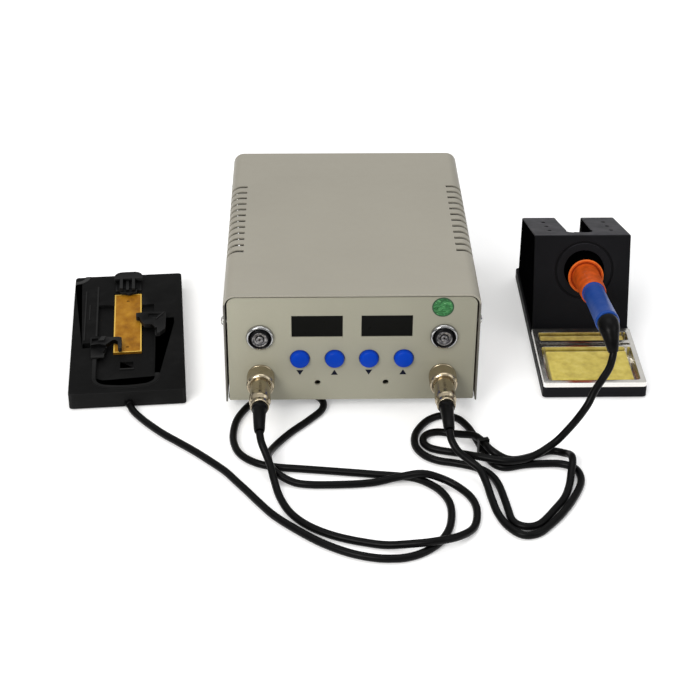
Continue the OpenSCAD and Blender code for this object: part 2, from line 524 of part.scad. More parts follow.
ib = [[0, 0, handle_l + 0.22], [0.2, -0.8, handle_l + 3.4], [0.8, -4.2, handle_l + 7.4], [1.8, -10, handle_l + 10.4], [2.9, -16.4, handle_l + 12.1]];
ib_t = [0, 26, 52, 69, 76];
module iron_boot() color([0.08, 0.08, 0.08]) irn() {
    translate([0, 0, handle_l - 8]) cylinder(r = 4.5, h = 8.05, $fn = 48);
    r = [7, 6.8, 5.8, 4.6, 3.4];
    for (i = [0 : 3]) hull() for (k = [i, i + 1]) translate(ib[k]) rotate([ib_t[k], 0, 0]) translate([0, 0, -0.2]) cylinder(r = r[k], h = 0.4, $fn = 32);
}
// collar, tube and thread that carry the tip
module iron_barrel() color([0.75, 0.75, 0.76]) irn() difference() {
    rotate_extrude($fn = 64) polygon([[2.6, 30], [3.7, 30], [3.7, 12], [5, 7.7], [5, -1.2], [7.6, -1.2], [7.6, -4], [5.2, -4], [5.2, -13], [3.6, -13],
        [3.6, -30], [2.6, -30]]);
    for (a = [0 : 60 : 359]) rotate([0, 0, a]) translate([2, -0.6, -27]) cube([3, 1.2, 8]);
}
module iron_nut() color([0.7, 0.7, 0.7]) irn() difference() {
    union() {
        translate([0, 0, -12.6]) cylinder(r = 7, h = 8.3, $fn = 64);
        for (a = [0 : 30 : 359]) rotate([0, 0, a]) translate([6.6, -0.5, -12.2]) cube([0.8, 1, 7.4]);
    }
    translate([0, 0, -14]) cylinder(r = 5.26, h = 12, $fn = 64);
}
module iron_tip() color([0.6, 0.58, 0.55]) irn() rotate_extrude($fn = 48)
    polygon([[0, 6], [2.4, 6], [2.4, -30.6], [3.2, -30.6], [3.2, -40], [2.2, -44], [0.35, -57], [0, -57.3]]);

// ---------------------------------------------------------------- cords
// layout-frame points, millimetres
cord_1 = [[-150.3, 2.8, 3.4], [-148.6, -1.6, 2.9], [-144.4, -8, 2.55], [-137, -17.6, 2.55], [-126, -29.8, 2.55], [-115, -40, 2.55],
    [-104, -50.3, 2.55], [-93, -61.8, 2.55], [-83, -73, 2.55], [-75.5, -84, 2.55], [-68.2, -94.8, 2.55], [-60, -107.4, 2.55], [-51, -120, 2.55],
    [-38, -133.4, 2.55], [-21, -148, 2.55], [-2, -158.8, 2.55], [18, -163.4, 2.55], [34, -160.6, 2.55], [47, -151.4, 2.55], [55, -139, 2.55],
    [58.6, -125.5, 2.55], [59, -110.5, 2.55], [55, -98, 2.55], [47.5, -88.5, 2.55], [36, -81.4, 2.55], [12, -77.5, 2.55], [-12, -74, 2.55],
    [-34, -71, 2.55], [-51, -68.6, 2.55], [-64, -63.6, 2.55], [-74, -54, 2.55], [-78.6, -41, 2.55], [-79.2, -27, 2.55], [-76.8, -12, 2.55],
    [-70, 3, 2.55], [-60.5, 14.5, 2.55], [-46, 22, 2.55], [-31, 19.6, 2.55], [-20.4, 9.8, 2.55], [-20, -2, 2.55], [-29, -15, 2.55],
    [-41, -29.4, 2.55], [-50.4, -44, 3], [-54.8, -56.6, 5.4], [-55.4, -66, 7.7], [-52.4, -75.4, 5.5], [-42, -84, 3], [-30, -88, 2.55], [-5, -88.2, 2.55],
    [12, -86.6, 2.7], [28, -84.4, 5.2], [43, -84.4, 7.8], [56, -87, 5.2], [66, -93, 2.8], [73, -104, 2.55], [75.2, -117.4, 2.55], [72, -133.6, 2.6],
    [62, -146.6, 6], [48, -153.4, 7.8], [33, -153.8, 6.2], [15, -150.2, 2.7], [-6, -144.2, 2.55], [-21, -137, 2.55], [-33, -127.6, 2.55],
    [-42, -115.4, 2.55], [-48, -100, 2.7], [-51.4, -87, 5.6], [-54, -78, 11], [-57, -71.5, 16], [-59.6, -66.4, 20.6], [-60.9, -60.2, 24.1]];
// from the boot, round the outer and inner loops, up to where the lead starts
cord_2 = [[61.5, -60.2, 24.1], [62.6, -66, 20.6], [66.5, -71.3, 15.8], [73.6, -76, 11.6], [79.8, -81.4, 8.8], [83.4, -91, 4.8], [85.5, -104, 2.6],
    [88, -120, 2.55], [93, -133, 2.55], [101, -141.5, 2.55], [110.4, -140.4, 2.55], [118.9, -132.3, 2.55], [128.2, -120.4, 2.55], [136.8, -106, 2.55],
    [143.2, -92, 2.55], [145, -82, 2.55], [142.5, -73, 2.55], [134.5, -68, 2.55], [122.5, -67.5, 2.55], [110, -68.6, 2.55], [98, -71.5, 2.55],
    [91, -67.8, 2.55], [87.3, -60, 2.55], [84.8, -51, 2.55], [82.4, -42, 2.55], [80, -33, 2.55], [77, -24, 2.55], [71, -14.5, 2.55], [61, -11, 2.55],
    [51.5, -16, 2.55], [44.5, -26, 2.55], [40.9, -36.5, 2.55], [41.2, -47.5, 2.55], [46.2, -57, 2.55], [54.5, -63, 2.55], [66, -66.2, 2.55],
    [78, -70.8, 2.55], [86.8, -78.5, 2.55], [91.4, -90, 2.55], [93.8, -107, 2.55], [94.8, -117, 2.55], [95.7, -125.4, 2.55], [98.2, -130.4, 2.55],
    [102.7, -133.2, 2.55], [108.1, -133.4, 2.55], [112.8, -130.9, 2.55], [117, -126.3, 2.55], [123.4, -117.2, 2.55], [131.6, -104.4, 2.55], [136.5, -91, 2.55], [139.1, -80, 5.2], [140.6, -73.8, 7.6], [141.1, -68, 7.8],
    [140.8, -63, 6.1], [139.6, -59.2, 4.3], [137, -56.3, 3.1], [133.6, -54.1, 2.6], [129.2, -53.4, 2.55],
    [124.6, -54.8, 2.55], [120, -57.2, 2.55], [112, -61, 2.55], [104.5, -63.1, 2.7], [98.4, -63.4, 4],
    [92.8, -62, 6.6], [88.6, -58, 7.8], [86.2, -52.6, 7.8], [83.4, -46.8, 7.7], [79.4, -41.3, 7.2], [71.5, -35.8, 4.3], [64, -31.8, 2.6], [56.8, -30.4, 2.55], [50.6, -32.2, 2.55], [46.9, -37, 2.55], [46.6, -43, 2.55],
    [49.8, -48.2, 2.55], [55.4, -51.2, 2.55], [61.4, -53.4, 2.8], [67, -56, 3.6], [75, -62.5, 6.4], [84, -67.5, 7.75], [92.2, -70.2, 7.75],
    [99.8, -71.6, 7.75], [110.7, -69.2, 7.75], [119.4, -63.8, 7.9], [127, -58.6, 9.6], [133, -56, 13.2]];
lead_2 = [[134, -56, 14.2], [139.2, -55.2, 20.8], [145, -54, 28.5], [150.8, -52.6, 38], [155.4, -48, 45.7], [160.8, -43, 51.6], [165.4, -37.6, 55.9],
    [167.6, -33.6, 59.6], [168.7, -30.8, 63.1]];
module preheater_cord() color([0.07, 0.07, 0.07]) lay() tube(path(cord_1, 1), cr);
module iron_cord() color([0.07, 0.07, 0.07]) lay() tube(path(cord_2, 1), cr);
module iron_cord_lead() color([0.07, 0.07, 0.07]) lay() tube(path(lead_2, 1), cr);
module cord_tie() color([0.04, 0.04, 0.04]) lay() translate([85.1, -51, 0]) rotate([0, 0, 17]) difference() {
    translate([-3.55, -1.7, 0.05]) cube([7.1, 3.4, 10.85]);
    translate([-3.05, -4, -1]) cube([6.1, 8, 11.4]);
}

chassis_base();
front_panel();
rear_panel();
top_cover();
case_screws();
rubber_feet();
display_window_1();
display_window_2();
led_displays();
control_board();
board_standoffs();
down_button_1();
up_button_1();
down_button_2();
up_button_2();
power_switch_1();
power_switch_2();
power_button_1();
power_button_2();
panel_nuts();
panel_socket_1();
panel_socket_2();
coupling_ring_1();
coupling_ring_2();
plug_shell_1();
plug_shell_2();
plug_boot_1();
plug_boot_2();
cal_trimmer_1();
cal_trimmer_2();
transformer_core();
transformer_winding();
power_board();
wire_loom();
mains_inlet();
fuse_drawer();
inspection_seal();
preheater_housing();
preheater_base();
heated_plate();
heater_element();
left_clamp();
right_clamp();
top_clamp();
preheater_gland();
stand_base();
iron_holder();
sponge_tray();
sponge();
wiping_strip();
iron_handle();
iron_flange();
iron_boot();
iron_barrel();
iron_nut();
iron_tip();
preheater_cord();
iron_cord();
iron_cord_lead();
cord_tie();
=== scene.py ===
import json
import math

import bmesh
import bpy
import numpy as np
from mathutils import Matrix, Vector, noise


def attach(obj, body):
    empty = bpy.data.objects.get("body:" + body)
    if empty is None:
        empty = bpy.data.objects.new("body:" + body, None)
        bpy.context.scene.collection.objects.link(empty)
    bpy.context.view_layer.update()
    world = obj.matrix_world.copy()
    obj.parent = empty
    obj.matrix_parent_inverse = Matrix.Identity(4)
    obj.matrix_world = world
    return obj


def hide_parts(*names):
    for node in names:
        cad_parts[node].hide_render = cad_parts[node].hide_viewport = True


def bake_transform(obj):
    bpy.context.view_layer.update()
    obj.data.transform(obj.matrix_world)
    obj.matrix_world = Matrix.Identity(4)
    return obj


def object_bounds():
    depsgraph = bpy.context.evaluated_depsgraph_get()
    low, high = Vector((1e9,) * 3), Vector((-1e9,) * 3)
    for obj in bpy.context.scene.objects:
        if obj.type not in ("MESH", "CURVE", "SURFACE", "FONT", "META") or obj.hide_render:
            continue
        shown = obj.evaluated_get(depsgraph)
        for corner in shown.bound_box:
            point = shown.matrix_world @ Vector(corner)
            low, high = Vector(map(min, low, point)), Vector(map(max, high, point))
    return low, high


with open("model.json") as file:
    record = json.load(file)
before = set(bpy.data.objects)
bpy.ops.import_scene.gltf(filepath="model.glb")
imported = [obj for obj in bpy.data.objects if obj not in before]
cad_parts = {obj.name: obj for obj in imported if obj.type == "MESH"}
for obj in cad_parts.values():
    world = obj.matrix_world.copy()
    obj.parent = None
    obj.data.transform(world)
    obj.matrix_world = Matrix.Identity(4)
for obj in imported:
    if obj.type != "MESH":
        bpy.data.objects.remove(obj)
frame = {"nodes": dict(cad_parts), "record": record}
CAD_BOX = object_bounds()
BODY = {n: b for b, ns in frame["record"]["behaviour"]["bodies"].items() for n in ns}
SLOT = {s["node"]: s["material_slot"] for s in frame["record"]["subparts"]}
OX, OY = 0.41, -94.57
scene = bpy.context.scene


def L(x, y, z):
    """Layout millimetres (station's front at y 0) to the row frame in metres."""
    return Vector(((x + OX) / 1000, (y + OY) / 1000, z / 1000))


def MM(m):
    """A frame given in layout millimetres, as a matrix from local millimetres to metres."""
    return Matrix.Translation((OX / 1000, OY / 1000, 0)) @ Matrix.Scale(0.001, 4) @ m


def T(x, y, z):
    return Matrix.Translation((x, y, z))


def R(deg, axis):
    return Matrix.Rotation(math.radians(deg), 4, axis)


LAY = MM(Matrix.Identity(4))
PRE = MM(T(-192.2, 2.8, 0) @ R(4.65, "Z"))
STD = MM(T(132.2, 12.8, 0))
IRN = MM(T(171.3, 99.8, 47.55) @ R(-2.4, "Z") @ R(75.6, "X"))


def FRONT(x, z, y=0):
    """Local z runs out of the front panel, towards the user."""
    return MM(T(x, y, z) @ R(90, "X"))


# ------------------------------------------------------------------ camera
def make_camera():
    pitch, yaw, roll = math.radians(31.719), math.radians(1.664), math.radians(0.469)
    f = Vector((math.sin(yaw) * math.cos(pitch), math.cos(yaw) * math.cos(pitch), -math.sin(pitch)))
    r = Vector((math.cos(yaw), -math.sin(yaw), 0))
    u = r.cross(f)
    r2 = r * math.cos(roll) + u * math.sin(roll)
    u2 = u * math.cos(roll) - r * math.sin(roll)
    cam = bpy.data.cameras.new("camera")
    cam.lens, cam.sensor_width = 85.0, 36.0
    cam.clip_start, cam.clip_end = 0.05, 60
    o = bpy.data.objects.new("camera", cam)
    scene.collection.objects.link(o)
    m = Matrix((r2, u2, -f)).transposed().to_4x4()
    m.translation = (-0.02814, -1.03185, 0.62802)
    o.matrix_world = m
    scene.camera = o


make_camera()
scene.view_settings.view_transform = "Standard"


# ------------------------------------------------------------------ materials
class Mat:
    """One node material, with small helpers for the textures that feed it."""

    def __init__(self, name, color, rough=0.5, metal=0.0, coat=0.0, spec=0.5, coat_rough=0.1, sheen=0.0):
        self.m = bpy.data.materials.new(name)
        self.m.use_nodes = True
        self.t = self.m.node_tree
        self.t.nodes.clear()
        self.out = self.t.nodes.new("ShaderNodeOutputMaterial")
        self.b = self.t.nodes.new("ShaderNodeBsdfPrincipled")
        self.t.links.new(self.b.outputs[0], self.out.inputs[0])
        i = self.b.inputs
        i["Base Color"].default_value = (*color, 1)
        i["Roughness"].default_value = rough
        i["Metallic"].default_value = metal
        i["Coat Weight"].default_value = coat
        i["Coat Roughness"].default_value = coat_rough
        i["Specular IOR Level"].default_value = spec
        i["Sheen Weight"].default_value = sheen
        self.m.diffuse_color = (*color, 1)
        self.color, self.height = color, None
        self.co = None

    def link(self, a, b):
        self.t.links.new(a, b)

    def coords(self, scale=(1, 1, 1), rot=(0, 0, 0), loc=(0, 0, 0)):
        if self.co is None:
            self.co = self.t.nodes.new("ShaderNodeTexCoord")
        if scale == (1, 1, 1) and rot == (0, 0, 0) and loc == (0, 0, 0):
            return self.co.outputs["Object"]
        mp = self.t.nodes.new("ShaderNodeMapping")
        mp.inputs["Scale"].default_value = scale
        mp.inputs["Rotation"].default_value = rot
        mp.inputs["Location"].default_value = loc
        self.link(self.co.outputs["Object"], mp.inputs["Vector"])
        return mp.outputs[0]

    def noise(self, scale, detail=4, rough=0.55, stretch=(1, 1, 1), dist=0.0, loc=(0, 0, 0)):
        n = self.t.nodes.new("ShaderNodeTexNoise")
        n.inputs["Scale"].default_value = scale
        n.inputs["Detail"].default_value = detail
        n.inputs["Roughness"].default_value = rough
        n.inputs["Distortion"].default_value = dist
        self.link(self.coords(stretch, loc=loc), n.inputs["Vector"])
        return n.outputs["Fac"]

    def voronoi(self, scale, feature="F1", rand=1.0, out="Distance", smooth=None):
        n = self.t.nodes.new("ShaderNodeTexVoronoi")
        n.feature = feature
        n.inputs["Scale"].default_value = scale
        n.inputs["Randomness"].default_value = rand
        if smooth is not None:
            n.inputs["Smoothness"].default_value = smooth
        self.link(self.coords(), n.inputs["Vector"])
        return n.outputs[out]

    def ramp(self, fac, stops, mode="LINEAR"):
        n = self.t.nodes.new("ShaderNodeValToRGB")
        n.color_ramp.interpolation = mode
        e = n.color_ramp.elements
        while len(e) > 1:
            e.remove(e[-1])
        e[0].position, e[0].color = stops[0][0], self._c(stops[0][1])
        for p, c in stops[1:]:
            k = e.new(p)
            k.color = self._c(c)
        self.link(fac, n.inputs[0])
        return n.outputs[0]

    @staticmethod
    def _c(c):
        return (c, c, c, 1) if isinstance(c, (int, float)) else (*c, 1)

    def math(self, op, a, b=None, c=None, clamp=False):
        n = self.t.nodes.new("ShaderNodeMath")
        n.operation, n.use_clamp = op, clamp
        for k, v in enumerate((a, b, c)):
            if v is None:
                continue
            if isinstance(v, (int, float)):
                n.inputs[k].default_value = v
            else:
                self.link(v, n.inputs[k])
        return n.outputs[0]

    def mix(self, fac, a, b, mode="MIX"):
        n = self.t.nodes.new("ShaderNodeMix")
        n.data_type, n.blend_type = "RGBA", mode
        for key, v in (("Factor", fac), ("A", a), ("B", b)):
            s = [x for x in n.inputs if x.name == key and (x.type == "VALUE" if key == "Factor" else x.type == "RGBA")][0]
            if isinstance(v, (int, float)) and key == "Factor":
                s.default_value = v
            elif isinstance(v, tuple):
                s.default_value = (*v, 1)
            else:
                self.link(v, s)
        return [x for x in n.outputs if x.type == "RGBA"][0]

    def pointy(self, lo=0.5, hi=0.56):
        g = self.t.nodes.new("ShaderNodeNewGeometry")
        return self.ramp(g.outputs["Pointiness"], [(lo, 0.0), (hi, 1.0)])

    def axis(self, k):
        s = self.t.nodes.new("ShaderNodeSeparateXYZ")
        self.link(self.coords(), s.inputs[0])
        return s.outputs[k]

    def normal(self, k):
        g = self.t.nodes.new("ShaderNodeNewGeometry")
        s = self.t.nodes.new("ShaderNodeSeparateXYZ")
        self.link(g.outputs["Normal"], s.inputs[0])
        return s.outputs[k]

    def base(self, sock):
        self.link(sock, self.b.inputs["Base Color"])
        return self

    def rough(self, fac, lo, hi):
        self.link(self.ramp(fac, [(0.25, lo), (0.75, hi)]), self.b.inputs["Roughness"])
        return self

    def bump(self, fac, strength=0.3, dist=0.0002):
        n = self.t.nodes.new("ShaderNodeBump")
        n.inputs["Strength"].default_value = strength
        n.inputs["Distance"].default_value = dist
        self.link(fac, n.inputs["Height"])
        if self.height is not None:
            self.link(self.height, n.inputs["Normal"])
        self.height = n.outputs[0]
        self.link(self.height, self.b.inputs["Normal"])
        return self


def scaled(c, k):
    return tuple(min(1.0, x * k) for x in c)


def paint(name, c, rough=0.42, edge=None, right_shade=0.0):
    m = Mat(name, c, rough, 0, coat=0.06, coat_rough=0.3, spec=0.35)
    big = m.noise(14, 3)
    col = m.ramp(big, [(0.3, scaled(c, 0.965)), (0.7, scaled(c, 1.03))])
    speck = m.ramp(m.noise(1500, 2), [(0.30, 0.93), (0.42, 1.0)])
    col = m.mix(0.5, col, speck, "MULTIPLY")
    # baked enamel: a faint tint variation in random darker patches
    col = m.mix(m.ramp(m.noise(60, 4, loc=(3, 1, 2)), [(0.62, 0.0), (0.8, 0.10)]), col, scaled(c, 0.82))
    if edge:
        col = m.mix(m.math("MULTIPLY", m.pointy(0.52, 0.60), 0.35), col, edge)
    if right_shade:
        # painted shade: the enamel is a little darker towards the right
        side = m.ramp(m.math("MULTIPLY_ADD", m.axis(0), 6.0, 0.5), [(0.0, 1.0), (1.0, 1.0 - right_shade)])
        col = m.mix(1.0, col, side, "MULTIPLY")
    m.base(col)
    m.rough(m.noise(90, 3), rough - 0.05, rough + 0.07)
    m.bump(m.noise(700, 3, 0.5), 0.12, 0.00012)
    m.bump(m.noise(2600, 2), 0.06, 0.00004)
    return m.m


def black_plastic(name, c=(0.003, 0.003, 0.0032), rough=0.6, grain=2200, wear=0.5, light=(0.05, 0.05, 0.052), spec=0.08, edge=0.5, top=None, left=None):
    """Dark moulding or coating with a fine grain, rubbed patches and scratches; its paler edges are partly rubbed wear
    and partly a painted highlight, top adds a painted lighter top and left a painted shade on faces that point left.
    """
    m = Mat(name, c, rough, 0, spec=spec)
    worn = m.ramp(m.noise(38, 6, 0.62), [(0.50, 0.0), (0.78, 1.0)])
    col = m.mix(m.math("MULTIPLY", worn, wear * 0.42), c, light)
    scratch = m.ramp(m.noise(120, 4, 0.6, stretch=(1, 9, 1)), [(0.66, 0.0), (0.74, 1.0)])
    col = m.mix(m.math("MULTIPLY", scratch, wear * 0.22), col, light)
    # paler convex edges: partly rubbed wear, partly a painted highlight
    col = m.mix(m.math("MULTIPLY", m.pointy(0.51, 0.58), edge), col, light)
    # painted light: faces that point up and stand above 40 mm get the lighter top colour, for the overhead light they
    # catch; noise varies that colour
    if top:
        up = m.ramp(m.normal(2), [(0.80, 0.0), (0.93, 1.0)])
        high = m.ramp(m.math("MULTIPLY", m.axis(2), 10.0), [(0.40, 0.0), (0.50, 1.0)])
        lit_top = m.mix(m.ramp(m.noise(60, 5), [(0.35, 0.0), (0.7, 0.5)]), top, scaled(top, 0.6))
        col = m.mix(m.math("MULTIPLY", up, high), col, lit_top)
    # painted shade: faces that point left get the darker left colour
    if left:
        col = m.mix(m.math("LESS_THAN", m.normal(0), -0.8), col, left)
    m.base(col)
    m.rough(m.noise(70, 5), rough - 0.08, rough + 0.10)
    m.bump(m.noise(grain, 3, 0.6), 0.22, 0.00008)
    return m.m


def rubber(name, c=(0.003, 0.003, 0.0032), rough=0.5, spec=0.1):
    m = Mat(name, c, rough, 0, spec=spec)
    m.base(m.ramp(m.noise(160, 4), [(0.3, scaled(c, 0.8)), (0.72, scaled(c, 1.4))]))
    m.rough(m.noise(220, 4), rough - 0.09, rough + 0.08)
    m.bump(m.noise(2600, 3), 0.18, 0.00005)
    return m.m


def metal(name, c, rough=0.25, brush=None, tint=None, coat=0.0, edge=None, dark=0.85, grain=0.06, metallic=1.0):
    m = Mat(name, c, rough, metallic, coat=coat)
    col = m.ramp(m.noise(45, 4), [(0.3, scaled(c, dark)), (0.7, scaled(c, 1.06))])
    if tint:
        col = m.mix(m.ramp(m.noise(30, 5, loc=(5, 2, 1)), [(0.45, 0.0), (0.75, 0.7)]), col, tint)
    # painted highlight: convex edges paler
    if edge:
        col = m.mix(m.math("MULTIPLY", m.pointy(0.52, 0.60), 0.8), col, edge)
    m.base(col)
    m.rough(m.noise(130, 4), max(0.03, rough - 0.05), rough + 0.07)
    if brush:
        m.bump(m.noise(900, 3, 0.6, stretch=brush), 0.25, 0.00003)
    else:
        m.bump(m.noise(1800, 2), grain, 0.00004)
    return m.m


def gloss(name, c, rough=0.25, coat=0.4, bump=0.04, spec=0.5):
    m = Mat(name, c, rough, 0, coat=coat, coat_rough=0.12, spec=spec)
    m.base(m.ramp(m.noise(60, 3), [(0.3, scaled(c, 0.92)), (0.7, scaled(c, 1.06))]))
    m.rough(m.noise(150, 3), rough - 0.05, rough + 0.06)
    m.bump(m.noise(1300, 2), bump, 0.00008)
    return m.m


def mat_switch_disc():
    """Blotched grey metal of the switch plungers."""
    c = (0.20, 0.195, 0.20)
    m = Mat("switch_metal", c, 0.3, 0.8)
    m.base(m.ramp(m.noise(520, 3, 0.55), [(0.32, (0.05, 0.05, 0.055)), (0.52, (0.17, 0.165, 0.17)), (0.72, (0.42, 0.41, 0.40))]))
    m.rough(m.noise(300, 3), 0.24, 0.42)
    m.bump(m.noise(1500, 2), 0.12, 0.00005)
    return m.m


def mat_seal():
    """Crinkled green foil in streaks; its rim is darker through the seal_rim material."""
    c = (0.02, 0.20, 0.05)
    m = Mat("seal_green", c, 0.33, 0.25, coat=0.2)
    streak = m.noise(330, 4, 0.6, stretch=(1, 1, 2.4), dist=1.4)
    col = m.ramp(streak, [(0.30, (0.001, 0.035, 0.006)), (0.45, (0.009, 0.10, 0.021)), (0.58, (0.034, 0.21, 0.055)), (0.70, (0.17, 0.41, 0.18))])
    m.base(col)
    m.rough(m.noise(400, 3), 0.25, 0.45)
    m.bump(streak, 0.25, 0.0001)
    return m.m


def mat_gold_plate():
    c = (0.50, 0.25, 0.02)
    m = Mat("plate_gold", c, 0.48, 0.2, spec=0.12)
    a = m.ramp(m.noise(95, 6, 0.62, stretch=(1, 0.7, 1)), [(0.28, (0.17, 0.062, 0.002)), (0.46, (0.31, 0.130, 0.006)), (0.66, (0.43, 0.205, 0.016)), (0.85, (0.60, 0.36, 0.08))])
    spots = m.ramp(m.noise(420, 4, 0.6), [(0.60, 0.0), (0.72, 1.0)])
    a = m.mix(m.math("MULTIPLY", spots, 0.35), a, (0.22, 0.09, 0.01))
    px = m.math("ADD", m.math("ADD", m.math("MULTIPLY", m.axis(0), 0.99671), m.math("MULTIPLY", m.axis(1), 0.08107)), 0.19860 - 0.0397)
    py = m.math("ADD", m.math("ADD", m.math("MULTIPLY", m.axis(0), -0.08107), m.math("MULTIPLY", m.axis(1), 0.99671)), 0.07592 - 0.0942)
    rim = m.math("MAXIMUM", m.math("GREATER_THAN", m.math("ABSOLUTE", px), 0.0090), m.math("GREATER_THAN", m.math("ABSOLUTE", py), 0.0401))
    lid = m.math("GREATER_THAN", m.axis(2), 0.01155)
    # painted highlight: a bright band along the plate's top edges
    a = m.mix(m.math("MULTIPLY", m.math("MULTIPLY", rim, lid), 0.75), a, (0.80, 0.54, 0.11))
    # painted shade: the plate's sides, below its top, are darker
    a = m.mix(m.math("MULTIPLY", m.math("SUBTRACT", 1.0, lid), 0.7), a, (0.10, 0.045, 0.004))
    m.base(a)
    m.rough(m.noise(240, 5), 0.36, 0.58)
    m.bump(m.noise(900, 3, stretch=(1, 6, 1)), 0.2, 0.00005)
    return m.m


def mat_sponge(name, a, b, c):
    m = Mat(name, b, 0.92, 0, spec=0.2, sheen=0.25)
    col = m.ramp(m.noise(150, 6, 0.6), [(0.30, a), (0.52, b), (0.75, c)])
    pore = m.ramp(m.voronoi(1150), [(0.10, 1.0), (0.26, 0.0)])
    keep = m.ramp(m.noise(520, 3), [(0.45, 0.0), (0.60, 1.0)])
    holes = m.math("MULTIPLY", pore, keep)
    # painted shade: the pores are darkened, besides being sunk by the bump
    col = m.mix(m.math("MULTIPLY", holes, 0.55), col, scaled(a, 0.45))
    m.base(col)
    m.bump(m.math("SUBTRACT", 1.0, holes), 0.6, 0.0004)
    m.bump(m.noise(800, 5, 0.65), 0.55, 0.0003)
    return m.m


def mat_pcb():
    c = (0.02, 0.13, 0.05)
    m = Mat("circuit_board", c, 0.35, 0, coat=0.4)
    tracks = m.ramp(m.voronoi(240, "DISTANCE_TO_EDGE", 0.6), [(0.03, 1.0), (0.06, 0.0)])
    m.base(m.mix(m.math("MULTIPLY", tracks, 0.6), c, (0.05, 0.22, 0.09)))
    m.bump(tracks, 0.2, 0.00005)
    return m.m


def mat_winding():
    c = (0.45, 0.20, 0.07)
    m = Mat("copper_wire", c, 0.35, 0.7)
    w = m.t.nodes.new("ShaderNodeTexWave")
    w.inputs["Scale"].default_value = 420
    w.inputs["Distortion"].default_value = 0.6
    w.bands_direction = "Z"
    m.link(m.coords(), w.inputs["Vector"])
    m.base(m.ramp(w.outputs["Fac"], [(0.0, scaled(c, 0.5)), (1.0, scaled(c, 1.4))]))
    m.bump(w.outputs["Fac"], 0.5, 0.0003)
    return m.m


def mat_core():
    c = (0.16, 0.16, 0.17)
    m = Mat("core_steel", c, 0.4, 0.8)
    w = m.t.nodes.new("ShaderNodeTexWave")
    w.inputs["Scale"].default_value = 300
    w.bands_direction = "Y"
    m.link(m.coords(), w.inputs["Vector"])
    m.base(m.ramp(w.outputs["Fac"], [(0.0, scaled(c, 0.7)), (1.0, scaled(c, 1.3))]))
    m.bump(w.outputs["Fac"], 0.3, 0.0002)
    return m.m


def mat_cover(name, c):
    """Enamel; the front edges of the cover's side walls are painted dark, partly a raw cut edge, partly a painted shade
    of the gap beside them.
    """
    m = Mat(name, c, 0.45, 0, coat=0.06, coat_rough=0.3, spec=0.35)
    col = m.ramp(m.noise(11, 3), [(0.3, scaled(c, 0.97)), (0.7, scaled(c, 1.03))])
    speck = m.ramp(m.noise(1500, 2), [(0.30, 0.93), (0.42, 1.0)])
    col = m.mix(0.5, col, speck, "MULTIPLY")
    col = m.mix(m.ramp(m.noise(45, 4, loc=(3, 1, 2)), [(0.60, 0.0), (0.8, 0.10)]), col, scaled(c, 0.82))
    # the front edges of the side walls, below 83.5 mm, darkened: a raw cut edge and a painted shade
    front = m.math("LESS_THAN", m.axis(1), -0.0943)
    side = m.math("GREATER_THAN", m.math("ABSOLUTE", m.math("SUBTRACT", m.axis(0), 0.00041)), 0.0832)
    low = m.math("LESS_THAN", m.axis(2), 0.0835)
    col = m.mix(m.math("MULTIPLY", m.math("MULTIPLY", front, side), m.math("MULTIPLY", low, 0.72)), col, (0.045, 0.045, 0.042))
    m.base(col)
    m.rough(m.noise(90, 3), 0.40, 0.53)
    m.bump(m.noise(700, 3, 0.5), 0.12, 0.00012)
    m.bump(m.noise(2600, 2), 0.06, 0.00004)
    return m.m


